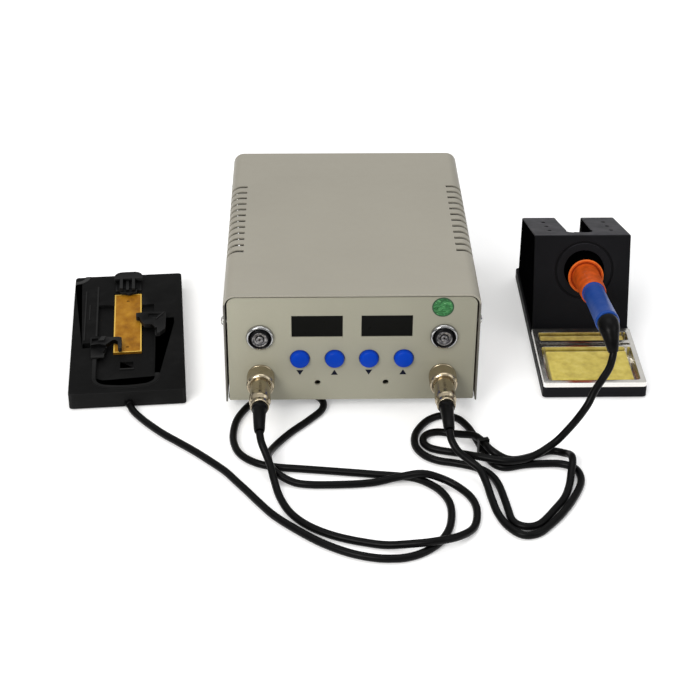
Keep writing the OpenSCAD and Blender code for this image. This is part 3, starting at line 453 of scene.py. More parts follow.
PAINT_TOP = (0.285, 0.268, 0.222)
PAINT_FRONT = (0.292, 0.282, 0.218)
M = {
    "cover_paint": mat_cover("cover_paint", PAINT_TOP),
    # panel paint: 20 % darker towards the right, a painted shade
    "panel_paint": paint("panel_paint", scaled(PAINT_FRONT, 1.06), 0.50, right_shade=0.20),
    "zinc_sheet": metal("zinc_sheet", (0.50, 0.51, 0.50), 0.42, tint=(0.36, 0.37, 0.38)),
    "screw_steel": metal("screw_steel", (0.62, 0.62, 0.60), 0.22),
    "foot_rubber": rubber("foot_rubber", (0.007, 0.007, 0.0075), 0.62),
    "dark_window": gloss("dark_window", (0.0040, 0.0040, 0.0034), 0.30, 0.0, 0.01, spec=0.05),
    "display_body": gloss("display_body", (0.03, 0.03, 0.03), 0.35, 0.1),
    "circuit_board": mat_pcb(),
    "brass_turned": metal("brass_turned", (0.62, 0.44, 0.18), 0.25),
    "blue_cap": gloss("blue_cap", (0.0001, 0.038, 0.375), 0.36, 0.03, spec=0.07),
    "switch_chrome": metal("switch_chrome", (0.42, 0.42, 0.42), 0.12),
    "plug_nickel": metal("plug_nickel", (0.45, 0.385, 0.275), 0.20, tint=(0.39, 0.31, 0.20), grain=0.02, edge=(0.62, 0.55, 0.42)),
    "core_steel": mat_core(),
    "copper_wire": mat_winding(),
    "inlet_black": black_plastic("inlet_black", (0.006, 0.006, 0.0065), 0.45, 2600, 0.12),
    "wire_red": rubber("wire_red", (0.25, 0.02, 0.02), 0.4),
    "seal_green": mat_seal(),
    "preheater_black": black_plastic("preheater_black", (0.0034, 0.0034, 0.0034), 0.62, 2000, 0.40, (0.032, 0.032, 0.032), 0.061, 0.50),
    "plate_gold": mat_gold_plate(),
    "ceramic": gloss("ceramic", (0.62, 0.60, 0.53), 0.5, 0.0),
    "clamp_dark": black_plastic("clamp_dark", (0.0015, 0.0015, 0.0016), 0.48, 1500, 0.35, (0.05, 0.05, 0.05), 0.05, 0.50),
    # holder: top is a painted lighter top, left a painted shade on the faces that point left
    "holder_black": black_plastic("holder_black", (0.0032, 0.0032, 0.0038), 0.50, 2400, 0.12, (0.03, 0.03, 0.036), 0.07, 0.40, top=(0.034, 0.033, 0.038), left=(0.0010, 0.0010, 0.0012)),
    "tray_steel": metal("tray_steel", (0.80, 0.78, 0.73), 0.20, metallic=1.0, edge=(0.97, 0.97, 0.95), grain=0.02),
    "sponge_yellow": mat_sponge("sponge_yellow", (0.38, 0.29, 0.045), (0.52, 0.42, 0.075), (0.62, 0.52, 0.13)),
    # rear strip: the sponge's colours made darker, a painted shade from the holder block above it
    "strip_gold": mat_sponge("strip_gold", (0.20, 0.13, 0.014), (0.38, 0.28, 0.045), (0.50, 0.40, 0.10)),
    "handle_blue": gloss("handle_blue", (0.005, 0.047, 0.245), 0.40, 0.06, 0.08, spec=0.18),
    "flange_orange": rubber("flange_orange", (0.43, 0.062, 0.005), 0.48, 0.15),
    "iron_steel": metal("iron_steel", (0.30, 0.29, 0.28), 0.28),
    "tip_iron": metal("tip_iron", (0.30, 0.28, 0.26), 0.3, tint=(0.18, 0.16, 0.15)),
    "cord_black": rubber("cord_black", (0.0013, 0.0013, 0.0014), 0.36, 0.09),
}
for n, o in frame["nodes"].items():
    mat = M[SLOT[n]]
    if not o.data.materials:
        o.data.materials.append(mat)
    for i in range(len(o.material_slots)):
        o.material_slots[i].material = mat


# ------------------------------------------------------------------ mesh helpers
def finish_mesh(me, sharp=32):
    bm = bmesh.new()
    bm.from_mesh(me)
    bmesh.ops.recalc_face_normals(bm, faces=bm.faces)
    lim = math.radians(sharp)
    for f in bm.faces:
        f.smooth = True
    for e in bm.edges:
        e.smooth = len(e.link_faces) == 2 and e.calc_face_angle(0) < lim
    bm.to_mesh(me)
    bm.free()
    me.update()


def put(name, me, mats, body, node=None, slot=None, sharp=32, weighted=False):
    """Links a finished mesh in row-frame metres as a piece on a body."""
    finish_mesh(me, sharp)
    if not isinstance(mats, (list, tuple)):
        mats = [mats]
    me.materials.clear()
    for m in mats:
        me.materials.append(m)
    o = bpy.data.objects.new(name, me)
    scene.collection.objects.link(o)
    if weighted:
        w = o.modifiers.new("weighted", "WEIGHTED_NORMAL")
        w.keep_sharp, w.weight = True, 60
    if body is not None:
        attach(o, body)
    if node:
        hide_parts(*([node] if isinstance(node, str) else node))
        slot = slot or SLOT[node if isinstance(node, str) else node[0]]
    return o


def mesh_from(verts, faces, name="m"):
    me = bpy.data.meshes.new(name)
    me.from_pydata([tuple(v) for v in verts], [], faces)
    me.validate()
    return me


def node_bm(node):
    """A CAD node's mesh as a fresh bmesh with its flat faces joined again."""
    src = frame["nodes"][node].data
    bm = bmesh.new()
    vs = [bm.verts.new(v.co) for v in src.vertices]
    for p in src.polygons:
        try:
            bm.faces.new([vs[i] for i in p.vertices])
        except ValueError:
            pass
    bmesh.ops.remove_doubles(bm, verts=bm.verts, dist=2e-6)
    bmesh.ops.dissolve_limit(bm, angle_limit=math.radians(0.6), verts=bm.verts, edges=bm.edges, delimit=set())
    bmesh.ops.recalc_face_normals(bm, faces=bm.faces)
    return bm


def bevel(bm, width_mm, segs=2, angle=34, pick=None, profile=0.6, clamp=True):
    edges = [e for e in bm.edges if len(e.link_faces) == 2 and e.calc_face_angle(0) > math.radians(angle)
             and (pick is None or pick(e))]
    if edges:
        bmesh.ops.bevel(bm, geom=edges, offset=width_mm / 1000, offset_type="OFFSET", segments=segs, profile=profile,
                        affect="EDGES", clamp_overlap=clamp, miter_outer="SHARP", miter_inner="SHARP")


def pull_in(bm, node, tol=2e-5):
    """Welds any corner that a bevel threw outside the CAD node's box to the nearest one beside it."""
    co = [v.co for v in frame["nodes"][node].data.vertices]
    lo = [min(c[k] for c in co) - tol for k in range(3)]
    hi = [max(c[k] for c in co) + tol for k in range(3)]

    def inside(v):
        return all(lo[k] <= v.co[k] <= hi[k] for k in range(3))

    for _ in range(6):
        weld = {}
        for v in bm.verts:
            if not inside(v):
                near = [e.other_vert(v) for e in v.link_edges if inside(e.other_vert(v))]
                if near:
                    weld[v] = min(near, key=lambda n: (n.co - v.co).length)
        if not weld:
            break
        bmesh.ops.weld_verts(bm, targetmap=weld)


def skin(node, width_mm, segs=2, angle=34, steps=None, mats=None, clamp=True, sharp=32, name=None, tri=True):
    """A bevelled copy of a CAD node that stands for it."""
    bm = node_bm(node)
    for pick, w, s in steps or []:
        bevel(bm, w, s, angle, pick, clamp=clamp)
    if width_mm:
        keep = None
        if steps:
            keep = lambda e: e.calc_length() > 0.0004
        bevel(bm, width_mm, segs, angle, keep, clamp=clamp)
    pull_in(bm, node)
    if tri:
        bmesh.ops.triangulate(bm, faces=[f for f in bm.faces if len(f.verts) > 4])
    me = bpy.data.meshes.new(node + "_skin")
    bm.to_mesh(me)
    bm.free()
    return put(name or node + "_skin", me, mats or M[SLOT[node]], BODY[node], node, sharp=sharp, weighted=True)


def rounded(prof, r, n=4):
    """Rounds each inner corner of an open (radius, height) outline."""
    rs = r if isinstance(r, (list, tuple)) else [r] * len(prof)
    out = [Vector(prof[0])]
    for i in range(1, len(prof) - 1):
        a, b, c = Vector(prof[i - 1]), Vector(prof[i]), Vector(prof[i + 1])
        u, v = a - b, c - b
        lu, lv = u.length, v.length
        if lu < 1e-6 or lv < 1e-6:
            continue
        u, v = u / lu, v / lv
        cosang = max(-1, min(1, u.dot(v)))
        half = math.acos(cosang) / 2
        if half > math.radians(86) or rs[i] <= 0:
            out.append(b)
            continue
        d = min(rs[i] / max(math.tan(half), 1e-6), lu * 0.48, lv * 0.48)
        p0, p1 = b + u * d, b + v * d
        for k in range(n + 1):
            t = k / n
            out.append(p0 * (1 - t) ** 2 + b * 2 * t * (1 - t) + p1 * t * t)
    out.append(Vector(prof[-1]))
    return [(max(0.0, p.x), p.y) for p in out]


def lathe_data(prof, n=96, disp=None, closed=False):
    """Vertices and faces of a turned form in local millimetres, axis z."""
    verts, rings = [], []
    for k, (r, t) in enumerate(prof):
        if r < 1e-4:
            rings.append([len(verts)])
            verts.append((0, 0, t))
            continue
        ring = []
        for j in range(n):
            a = 2 * math.pi * j / n
            rr = disp(r, t, a) if disp else r
            ring.append(len(verts))
            verts.append((rr * math.cos(a), rr * math.sin(a), t))
        rings.append(ring)
    faces = []
    pairs = list(zip(rings, rings[1:])) + ([(rings[-1], rings[0])] if closed else [])
    for a, b in pairs:
        if len(a) == 1 and len(b) == 1:
            continue
        if len(a) == 1:
            faces += [(a[0], b[j], b[(j + 1) % n]) for j in range(n)]
        elif len(b) == 1:
            faces += [(a[j], b[0], a[(j + 1) % n]) for j in range(n)]
        else:
            faces += [(a[j], b[j], b[(j + 1) % n], a[(j + 1) % n]) for j in range(n)]
    return verts, faces


def lathe(name, prof, m, mats, body, node=None, slot=None, n=96, disp=None, closed=False, sharp=32, pick=None):
    verts, faces = lathe_data(prof, n, disp, closed)
    me = mesh_from([m @ Vector(v) for v in verts], faces, name)
    o = put(name, me, mats, body, node, slot, sharp)
    if pick:
        inv = m.inverted()
        for p in o.data.polygons:
            p.material_index = pick(inv @ p.center)
    return o


def catmull(P, k):
    P = [Vector(p) for p in P]
    out = []
    for i in range(len(P) - 1):
        a = P[i - 1] if i else P[0] * 2 - P[1]
        b, c = P[i], P[i + 1]
        d = P[i + 2] if i + 2 < len(P) else P[-1] * 2 - P[-2]
        for j in range(k):
            t = j / k
            out.append(0.5 * ((2 * b) + (c - a) * t + (2 * a - 5 * b + 4 * c - d) * t * t + (3 * b - a - 3 * c + d) * t ** 3))
    out.append(P[-1])
    return out


def sweep(P, radii, n=20, cap=True, up=Vector((0, 0, 1)), wob=None):
    """A round tube through points with a radius at each, parallel frames, flat end caps."""
    P = [Vector(p) for p in P]
    tan = [(P[min(i + 1, len(P) - 1)] - P[max(i - 1, 0)]).normalized() for i in range(len(P))]
    s = tan[0].orthogonal().normalized()
    verts, faces = [], []
    for i, p in enumerate(P):
        s = (s - tan[i] * s.dot(tan[i])).normalized()
        t = tan[i].cross(s)
        for j in range(n):
            a = 2 * math.pi * j / n
            r = radii[i] * (1 + (wob(i, a) if wob else 0))
            verts.append(p + (s * math.cos(a) + t * math.sin(a)) * r)
    m = len(P)
    for i in range(m - 1):
        for j in range(n):
            faces.append((i * n + j, (i + 1) * n + j, (i + 1) * n + (j + 1) % n, i * n + (j + 1) % n))
    if cap:
        faces.append(tuple(range(n - 1, -1, -1)))
        faces.append(tuple((m - 1) * n + j for j in range(n)))
    return verts, faces


def join_data(parts):
    V, F, K = [], [], []
    for k, (v, f) in enumerate(parts):
        b = len(V)
        V += list(v)
        F += [tuple(i + b for i in x) for x in f]
        K += [k] * len(f)
    return V, F, K


# ------------------------------------------------------------------ cords
CORD_1 = [[-150.3, 2.8, 3.4], [-148.6, -1.6, 2.9], [-144.4, -8, 2.55], [-137, -17.6, 2.55], [-126, -29.8, 2.55],
    [-115, -40, 2.55], [-104, -50.3, 2.55], [-93, -61.8, 2.55], [-83, -73, 2.55], [-75.5, -84, 2.55], [-68.2, -94.8, 2.55],
    [-60, -107.4, 2.55], [-51, -120, 2.55], [-38, -133.4, 2.55], [-21, -148, 2.55], [-2, -158.8, 2.55], [18, -163.4, 2.55],
    [34, -160.6, 2.55], [47, -151.4, 2.55], [55, -139, 2.55], [58.6, -125.5, 2.55], [59, -110.5, 2.55], [55, -98, 2.55],
    [47.5, -88.5, 2.55], [36, -81.4, 2.55], [12, -77.5, 2.55], [-12, -74, 2.55], [-34, -71, 2.55], [-51, -68.6, 2.55],
    [-64, -63.6, 2.55], [-74, -54, 2.55], [-78.6, -41, 2.55], [-79.2, -27, 2.55], [-76.8, -12, 2.55], [-70, 3, 2.55],
    [-60.5, 14.5, 2.55], [-46, 22, 2.55], [-31, 19.6, 2.55], [-20.4, 9.8, 2.55], [-20, -2, 2.55], [-29, -15, 2.55],
    [-41, -29.4, 2.55], [-50.4, -44, 3], [-54.8, -56.6, 5.4], [-55.4, -66, 7.7], [-52.4, -75.4, 5.5], [-42, -84, 3],
    [-30, -88, 2.55], [-5, -88.2, 2.55], [12, -86.6, 2.7], [28, -84.4, 5.2], [43, -84.4, 7.8], [56, -87, 5.2],
    [66, -93, 2.8], [73, -104, 2.55], [75.2, -117.4, 2.55], [72, -133.6, 2.6], [62, -146.6, 6], [48, -153.4, 7.8],
    [33, -153.8, 6.2], [15, -150.2, 2.7], [-6, -144.2, 2.55], [-21, -137, 2.55], [-33, -127.6, 2.55], [-42, -115.4, 2.55],
    [-48, -100, 2.7], [-51.4, -87, 5.6], [-54, -78, 11], [-57, -71.5, 16], [-59.6, -66.4, 20.6], [-60.9, -60.2, 24.1]]
CORD_2 = [[61.5, -60.2, 24.1], [62.6, -66, 20.6], [66.5, -71.3, 15.8], [73.6, -76, 11.6], [79.8, -81.4, 8.8], [83.4, -91, 4.8],
    [85.5, -104, 2.6], [88, -120, 2.55], [93, -133, 2.55], [101, -141.5, 2.55], [110.4, -140.4, 2.55], [118.9, -132.3, 2.55],
    [128.2, -120.4, 2.55], [136.8, -106, 2.55], [143.2, -92, 2.55], [145, -82, 2.55], [142.5, -73, 2.55], [134.5, -68, 2.55],
    [122.5, -67.5, 2.55], [110, -68.6, 2.55], [98, -71.5, 2.55], [91, -67.8, 2.55], [87.3, -60, 2.55], [84.8, -51, 2.55],
    [82.4, -42, 2.55], [80, -33, 2.55], [77, -24, 2.55], [71, -14.5, 2.55], [61, -11, 2.55], [51.5, -16, 2.55],
    [44.5, -26, 2.55], [40.9, -36.5, 2.55], [41.2, -47.5, 2.55], [46.2, -57, 2.55], [54.5, -63, 2.55], [66, -66.2, 2.55],
    [78, -70.8, 2.55], [86.8, -78.5, 2.55], [91.4, -90, 2.55], [93.8, -107, 2.55], [94.8, -117, 2.55], [95.7, -125.4, 2.55],
    [98.2, -130.4, 2.55], [102.7, -133.2, 2.55], [108.1, -133.4, 2.55], [112.8, -130.9, 2.55], [117, -126.3, 2.55],
    [123.4, -117.2, 2.55], [131.6, -104.4, 2.55], [136.5, -91, 2.55], [139.1, -80, 5.2], [140.6, -73.8, 7.6],
    [141.1, -68, 7.8], [140.8, -63, 6.1], [139.6, -59.2, 4.3], [137, -56.3, 3.1], [133.6, -54.1, 2.6], [129.2, -53.4, 2.55],
    [124.6, -54.8, 2.55], [120, -57.2, 2.55], [112, -61, 2.55], [104.5, -63.1, 2.7], [98.4, -63.4, 4], [92.8, -62, 6.6],
    [88.6, -58, 7.8], [86.2, -52.6, 7.8], [83.4, -46.8, 7.7], [79.4, -41.3, 7.2], [71.5, -35.8, 4.3], [64, -31.8, 2.6],
    [56.8, -30.4, 2.55], [50.6, -32.2, 2.55], [46.9, -37, 2.55], [46.6, -43, 2.55], [49.8, -48.2, 2.55], [55.4, -51.2, 2.55],
    [61.4, -53.4, 2.8], [67, -56, 3.6], [75, -62.5, 6.4], [84, -67.5, 7.75], [92.2, -70.2, 7.75], [99.8, -71.6, 7.75],
    [110.7, -69.2, 7.75], [119.4, -63.8, 7.9], [127, -58.6, 9.6], [133, -56, 13.2]]
LEAD_2 = [[139.2, -55.2, 20.8], [145, -54, 28.5], [150.8, -52.6, 38], [155.4, -48, 45.7], [160.8, -43, 51.6],
    [165.4, -37.6, 55.9], [167.6, -33.6, 59.6], [168.7, -30.8, 63.1]]


def make_cord(name, pts, node, body):
    P = [L(*p) for p in catmull(pts, 5)]
    for p in P:
        p.y, p.z = max(p.y, CAD_BOX[0][1] + 0.0025), max(p.z, CAD_BOX[0][2] + 0.0025)
    v, f = sweep(P, [0.0025] * len(P), 16)
    o = put(name, mesh_from(v, f, name), M["cord_black"], body, node, sharp=50)
    return o, P


cord_a, path_a = make_cord("preheater_cord_tube", CORD_1, "preheater_cord", "station")
cord_b, path_b = make_cord("iron_cord_tube", CORD_2 + LEAD_2 + [[168.76, -30.1, 64.5]], ["iron_cord", "iron_cord_lead"], None)
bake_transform(cord_b)


# ------------------------------------------------------------------ station
def outer(axis, value, tol=0.03):
    return lambda v: abs(v.co[axis] * 1000 - value) < tol


skin("top_cover", 0.28, 2, clamp=False)
skin("front_panel", 0.25, 2, clamp=False)
skin("rear_panel", 0.25, 2, clamp=False)
skin("chassis_base", 0.2, 1, clamp=False)
skin("case_screws", 0.12, 2, clamp=False)
skin("rubber_feet", 0.5, 3, clamp=True)
skin("display_window_1", 0.2, 2)
skin("display_window_2", 0.2, 2)
skin("mains_inlet", 0.5, 3, clamp=False)
skin("fuse_drawer", 0.3, 2)

BTN_Z, CAL_Z, WIN_Z, SW_Z, SO_Z = 41.3, 22.1, 66.2, 58.4, 27.6
for node, x in (("down_button_1", -34.8), ("up_button_1", -11.5), ("down_button_2", 11.5), ("up_button_2", 34.8)):
    r = 6.4
    prof = rounded([(0, 2.62), (3.0, 2.58), (4.9, 2.3), (5.75, 1.75), (r, 0.7), (r, -3.4), (7.4, -3.4), (7.4, -4.6), (1.9, -4.6), (1.9, -8.2), (0, -8.2)],
                   [0, 2.5, 2.0, 1.0, 0.6, 0.15, 0.2, 0.2, 0.1, 0.1, 0])
    lathe(node + "_cap", prof, FRONT(x, BTN_Z), M["blue_cap"], node, node, n=96)

# printed marks under the buttons: plain triangles, point down or up
tri_mat = gloss("print_dark", (0.001, 0.002, 0.010), 0.45, 0.0, 0.02, spec=0.1)
V, F = [], []
for x, up in ((-34.9, -1), (-11.7, 1), (11.4, -1), (34.5, 1)):
    b = len(V)
    w, h, z = 2.4, 4.0, 30.3
    tri = [(x - w, z - up * h / 2), (x + w, z - up * h / 2), (x, z + up * h / 2)]
    if up < 0:
        tri = tri[::-1]
    V += [L(px, 0.985, pz) for px, pz in tri] + [L(px, 1.02, pz) for px, pz in tri]
    F += [(b, b + 1, b + 2), (b + 5, b + 4, b + 3)] + [(b + i, b + 3 + i, b + 3 + (i + 1) % 3, b + (i + 1) % 3) for i in range(3)]
put("arrow_marks", mesh_from(V, F), tri_mat, "station", slot="dark_window", sharp=20)

# switches: chrome bezel and a metal plunger with a stud; the bezel's bore wall and the plunger's sides, groove and
# centre take a dark material, a painted shade
switch_bore_shade = gloss("switch_ring_dark", (0.003, 0.003, 0.0035), 0.4, 0.0, spec=0.15)
chrome_soft = mat_switch_disc()
for k, x in ((1, -61.2), (2, 61.2)):
    prof = rounded([(6.32, -12), (6.32, 0.5), (6.7, 0.8), (7.45, 1.55), (7.9, 1.68), (8.7, 1.3), (9.3, 0.25), (9.3, -1.0), (7.95, -1.0), (7.95, -21), (0, -21), (0, -12)],
                   [0, 0.1, 0.1, 0.15, 0.5, 0.9, 0.5, 0.1, 0.1, 0.1, 0, 0])
    v, f = lathe_data(prof, 128, closed=True)
    v2, f2 = [], []
    for d in (-1, 1):
        b = len(v2)
        for cx in (-0.4, 0.4):
            for cy in (-1.9, 1.9):
                for cz in (-21, -27.8):
                    v2.append((3 * d + cx, cy, cz))
        f2 += [tuple(b + i for i in q) for q in ((0, 1, 3, 2), (4, 6, 7, 5), (0, 4, 5, 1), (2, 3, 7, 6), (0, 2, 6, 4), (1, 5, 7, 3))]
    V, F, K = join_data([(v, f), (v2, f2)])
    m = FRONT(x, SW_Z)
    o = put("power_switch_%d_bezel" % k, mesh_from([m @ Vector(p) for p in V], F), [M["switch_chrome"], switch_bore_shade], "station", "power_switch_%d" % k)
    inv = m.inverted()
    for q in o.data.polygons:
        c = inv @ q.center
        q.material_index = 1 if c.z > -12 and math.hypot(c.x, c.y) < 7.85 else 0
    prof = rounded([(0, 2.35), (0.55, 2.35), (0.85, 3.15), (1.8, 3.35), (2.35, 2.95), (2.4, 2.0), (3.0, 1.85), (4.2, 2.0), (4.45, 2.95), (5.0, 3.1), (5.75, 2.5), (5.8, 1.2), (6.2, 0.9), (6.2, -9), (0, -9)],
                   [0, 0.1, 0.3, 0.4, 0.3, 0.15, 0.2, 0.15, 0.2, 0.4, 0.3, 0.1, 0.1, 0.1, 0])
    lathe("power_button_%d_plunger" % k, prof, m, [chrome_soft, switch_bore_shade], "power_button_%d" % k, "power_button_%d" % k, n=128,
          pick=lambda c: 1 if 2.38 < math.hypot(c.x, c.y) < 3.1 or math.hypot(c.x, c.y) > 5.35 or math.hypot(c.x, c.y) < 0.6 else 0)


def knurl(t0, t1, depth, count, fade=0.5):
    def f(r, t, a):
        if r < 8.7 or t <= t0 or t >= t1:
            return r
        e = min(1.0, (t - t0) / fade, (t1 - t) / fade)
        return r - depth * e * (0.5 - 0.5 * math.cos(count * a))
    return f


for k, x in ((1, -61.2), (2, 61.2)):
    m = FRONT(x, SO_Z)
    band = [(9.4, 1.1 + 0.25)] + [(9.4, 1.6 + 0.35 * i) for i in range(18)]
    prof = rounded([(7.86, 0.62), (8.9, 0.62), (9.4, 1.1)], [0, 0.2, 0]) + band + \
        rounded([(9.4, 7.9), (9.32, 8.2), (9.36, 8.6), (9.4, 9.2), (9.4, 10.9), (8.9, 11.9), (8.2, 12.5), (6.96, 12.5), (6.96, 10.9), (7.86, 10.9), (7.86, 0.62)],
                [0, 0.1, 0.2, 0.2, 0.8, 0.8, 0.4, 0.2, 0.1, 0.1, 0])[:-1]
    lathe("coupling_ring_%d_turned" % k, prof, m, M["plug_nickel"], "coupling_ring_%d" % k, "coupling_ring_%d" % k, n=360,
          disp=knurl(1.3, 7.8, 0.16, 72), closed=True, sharp=40)
    prof = rounded([(0, 6.3), (4.9, 6.3), (4.9, 1.4), (6.2, 1.4), (6.2, 9.7), (7.6, 9.7), (7.6, 10.7), (6.9, 10.7), (6.9, 24.2), (7.15, 25.2),
                    (7.2, 26.2), (7.2, 29.6), (6.95, 30.8), (6.2, 31.9), (5.75, 32.6), (5.75, 33.9), (6.25, 34.5), (6.3, 35.2), (6.3, 36.2), (5.9, 37), (0, 37)],
                   [0, 0.1, 0.1, 0.1, 0.1, 0.1, 0.1, 0.1, 1.5, 0.8, 0.8, 1.5, 1.2, 0.8, 0.5, 0.5, 0.4, 0.4, 0.5, 0.4, 0])
    v, f = lathe_data(prof, 128)
    holes = []
    put("plug_shell_%d_turned" % k, mesh_from([m @ Vector(p) for p in v], f), M["plug_nickel"], "station", "plug_shell_%d" % k, sharp=40)
    prof = rounded([(0, -12), (0, 0.6), (6.35, 0.6), (6.35, 9.5), (7.3, 9.5), (7.8, 9.1), (7.8, 0.35), (8.9, 0.3), (9.2, 0.0), (9.2, -1), (7.95, -1), (7.95, -12)],
                   [0, 0, 0.1, 0.1, 0.1, 0.1, 0.05, 0.1, 0.3, 0.1, 0.1, 0])
    v, f = lathe_data(prof, 96, closed=True)
    parts = [(v, f)]
    for i in range(5):
        a = math.radians(72 * i)
        for z0_, z1_, rr in ((0.6, 6, 0.6), (-16, -11.9, 0.8)):
            pv, pf = lathe_data(rounded([(0, z0_), (rr, z0_), (rr, z1_), (0, z1_)], [0, 0.1, 0.25, 0], 2), 16)
            parts.append(([(q[0] + 3.6 * math.sin(a), q[1] + 3.6 * math.cos(a), q[2]) for q in pv], pf))
    V, F, K = join_data(parts)
    put("panel_socket_%d_turned" % k, mesh_from([m @ Vector(p) for p in V], F), M["plug_nickel"], "station", "panel_socket_%d" % k, sharp=40)
    # strain relief: collar, then a tapered sleeve that bends down with the cord
    pts = [Vector(p) for p in ((0, -36.9, 0), (0, -41, -0.05), (0.05, -47, -0.5), (0.15, -54, -1.6), (0.3, -60, -3.2))]
    P = catmull(pts, 8)
    n = len(P) - 1
    rad = []
    for i in range(n + 1):
        t = i / n
        if t < 0.155:
            q = 5.3 - (0.25 if t < 0.02 else 0)
        elif t < 0.2:
            q = 5.3 - (t - 0.155) / 0.045 * 0.75
        else:
            q = 4.55 - (t - 0.2) / 0.8 * 1.0
        if t > 0.93:
            q -= (t - 0.93) / 0.07 * 0.35
        rad.append(q)
    end = P[-1] + (P[-1] - P[-2]).normalized() * 0.02
    v, f = sweep([LAY @ (p + Vector((x, 0, SO_Z))) for p in P], [q / 1000 for q in rad], 40)
    put("plug_boot_%d_rubber" % k, mesh_from(v, f), M["cord_black"], "station", "plug_boot_%d" % k, sharp=40)

# the round seal: a plain disc with a fine raised rim
seal = M["seal_green"]
prof = rounded([(0, 0.14 - 1), (6.1, 0.14 - 1), (6.35, 0.15 - 1), (7.0, 0.15 - 1), (7.3, 0.10 - 1), (7.3, -1), (0, -1)], [0, 0.05, 0.05, 0.05, 0.05, 0, 0], 2)
seal_rim = gloss("seal_rim", (0.002, 0.045, 0.010), 0.4, 0.1)
lathe("inspection_seal_disc", prof, FRONT(59.8, 80.5), [seal, seal_rim], "station", "inspection_seal", n=96,
      pick=lambda c: 1 if math.hypot(c.x, c.y) > 6.3 else 0)

# trimmers
for k, x in ((1, -23), (2, 23)):
    skin("cal_trimmer_%d" % k, 0.08, 1)

# ------------------------------------------------------------------ preheater
# painted highlight: the raised quarter ring at the housing's corner is paler
arc_highlight = black_plastic("corner_arc_highlight", (0.030, 0.030, 0.030), 0.55, 2000, 0.2, (0.07, 0.07, 0.07), 0.10, 0.3)
house = skin("preheater_housing", 0.35, 2, clamp=False, mats=[M["preheater_black"], arc_highlight])
inv = PRE.inverted()
for q in house.data.polygons:
    c = inv @ q.center
    far = math.hypot(c.x, c.y - 163.2)
    q.material_index = 1 if c.z > 12.75 and 7.6 < far < 11.8 and c.x < 12 else 0
skin("heated_plate", 0.25, 2)
skin("left_clamp", 0.35, 2, clamp=False)
skin("right_clamp", 0.35, 2, clamp=False)
skin("top_clamp", 0.4, 2, clamp=False)
m = PRE @ T(40.5, 0, 3.5) @ R(90, "X")
v, f = lathe_data(rounded([(0, -2.9), (3.2, -2.9), (3.2, 0.1), (2.8, 0.5), (0, 0.5)], [0, 0.1, 0.4, 0.2, 0]), 48)
v2, f2 = lathe_data(rounded([(0, 0), (3.0, 0), (2.75, 2.8), (2.5, 3.2), (0, 3.2)], [0, 0.1, 0.4, 0.2, 0]), 48)
lean = m @ R(20, "Y")
V, F, K = join_data([([m @ Vector(q) for q in v], f), ([lean @ Vector(q) for q in v2], f2)])
put("preheater_gland_taper", mesh_from(V, F), M["cord_black"], "station", "preheater_gland", sharp=40)

# ------------------------------------------------------------------ holder
def long_edge(mn):
    return lambda e: e.calc_length() * 1000 > mn


# painted shade: the mouth's bore is darker than the block
mouth_shade_black = black_plastic("mouth_shade_black", (0.0006, 0.0006, 0.0007), 0.7, 2400, 0.0, (0.01, 0.01, 0.01), 0.02, 0.0)
# painted shade: faces of the block that point left are darker
left_shade_black = black_plastic("left_shade_black", (0.0010, 0.0010, 0.0012), 0.8, 2400, 0.05, (0.02, 0.02, 0.02), 0.0, 0.0)
block = skin("iron_holder", 0.35, 2, steps=[(long_edge(38), 1.1, 3)], clamp=False, mats=[M["holder_black"], mouth_shade_black, left_shade_black])
inv = (STD @ T(38.1, 90.96, 50.76) @ R(-105.5, "X")).inverted()
for q in block.data.polygons:
    c = inv @ q.center
    q.material_index = 1 if math.hypot(c.x, c.y) < 14.7 and c.z > 0.6 else 2 if q.normal.x < -0.9 and q.area > 1e-5 else 0
skin("stand_base", 0.6, 3, clamp=False)
skin("sponge_tray", 0.35, 2, clamp=False)


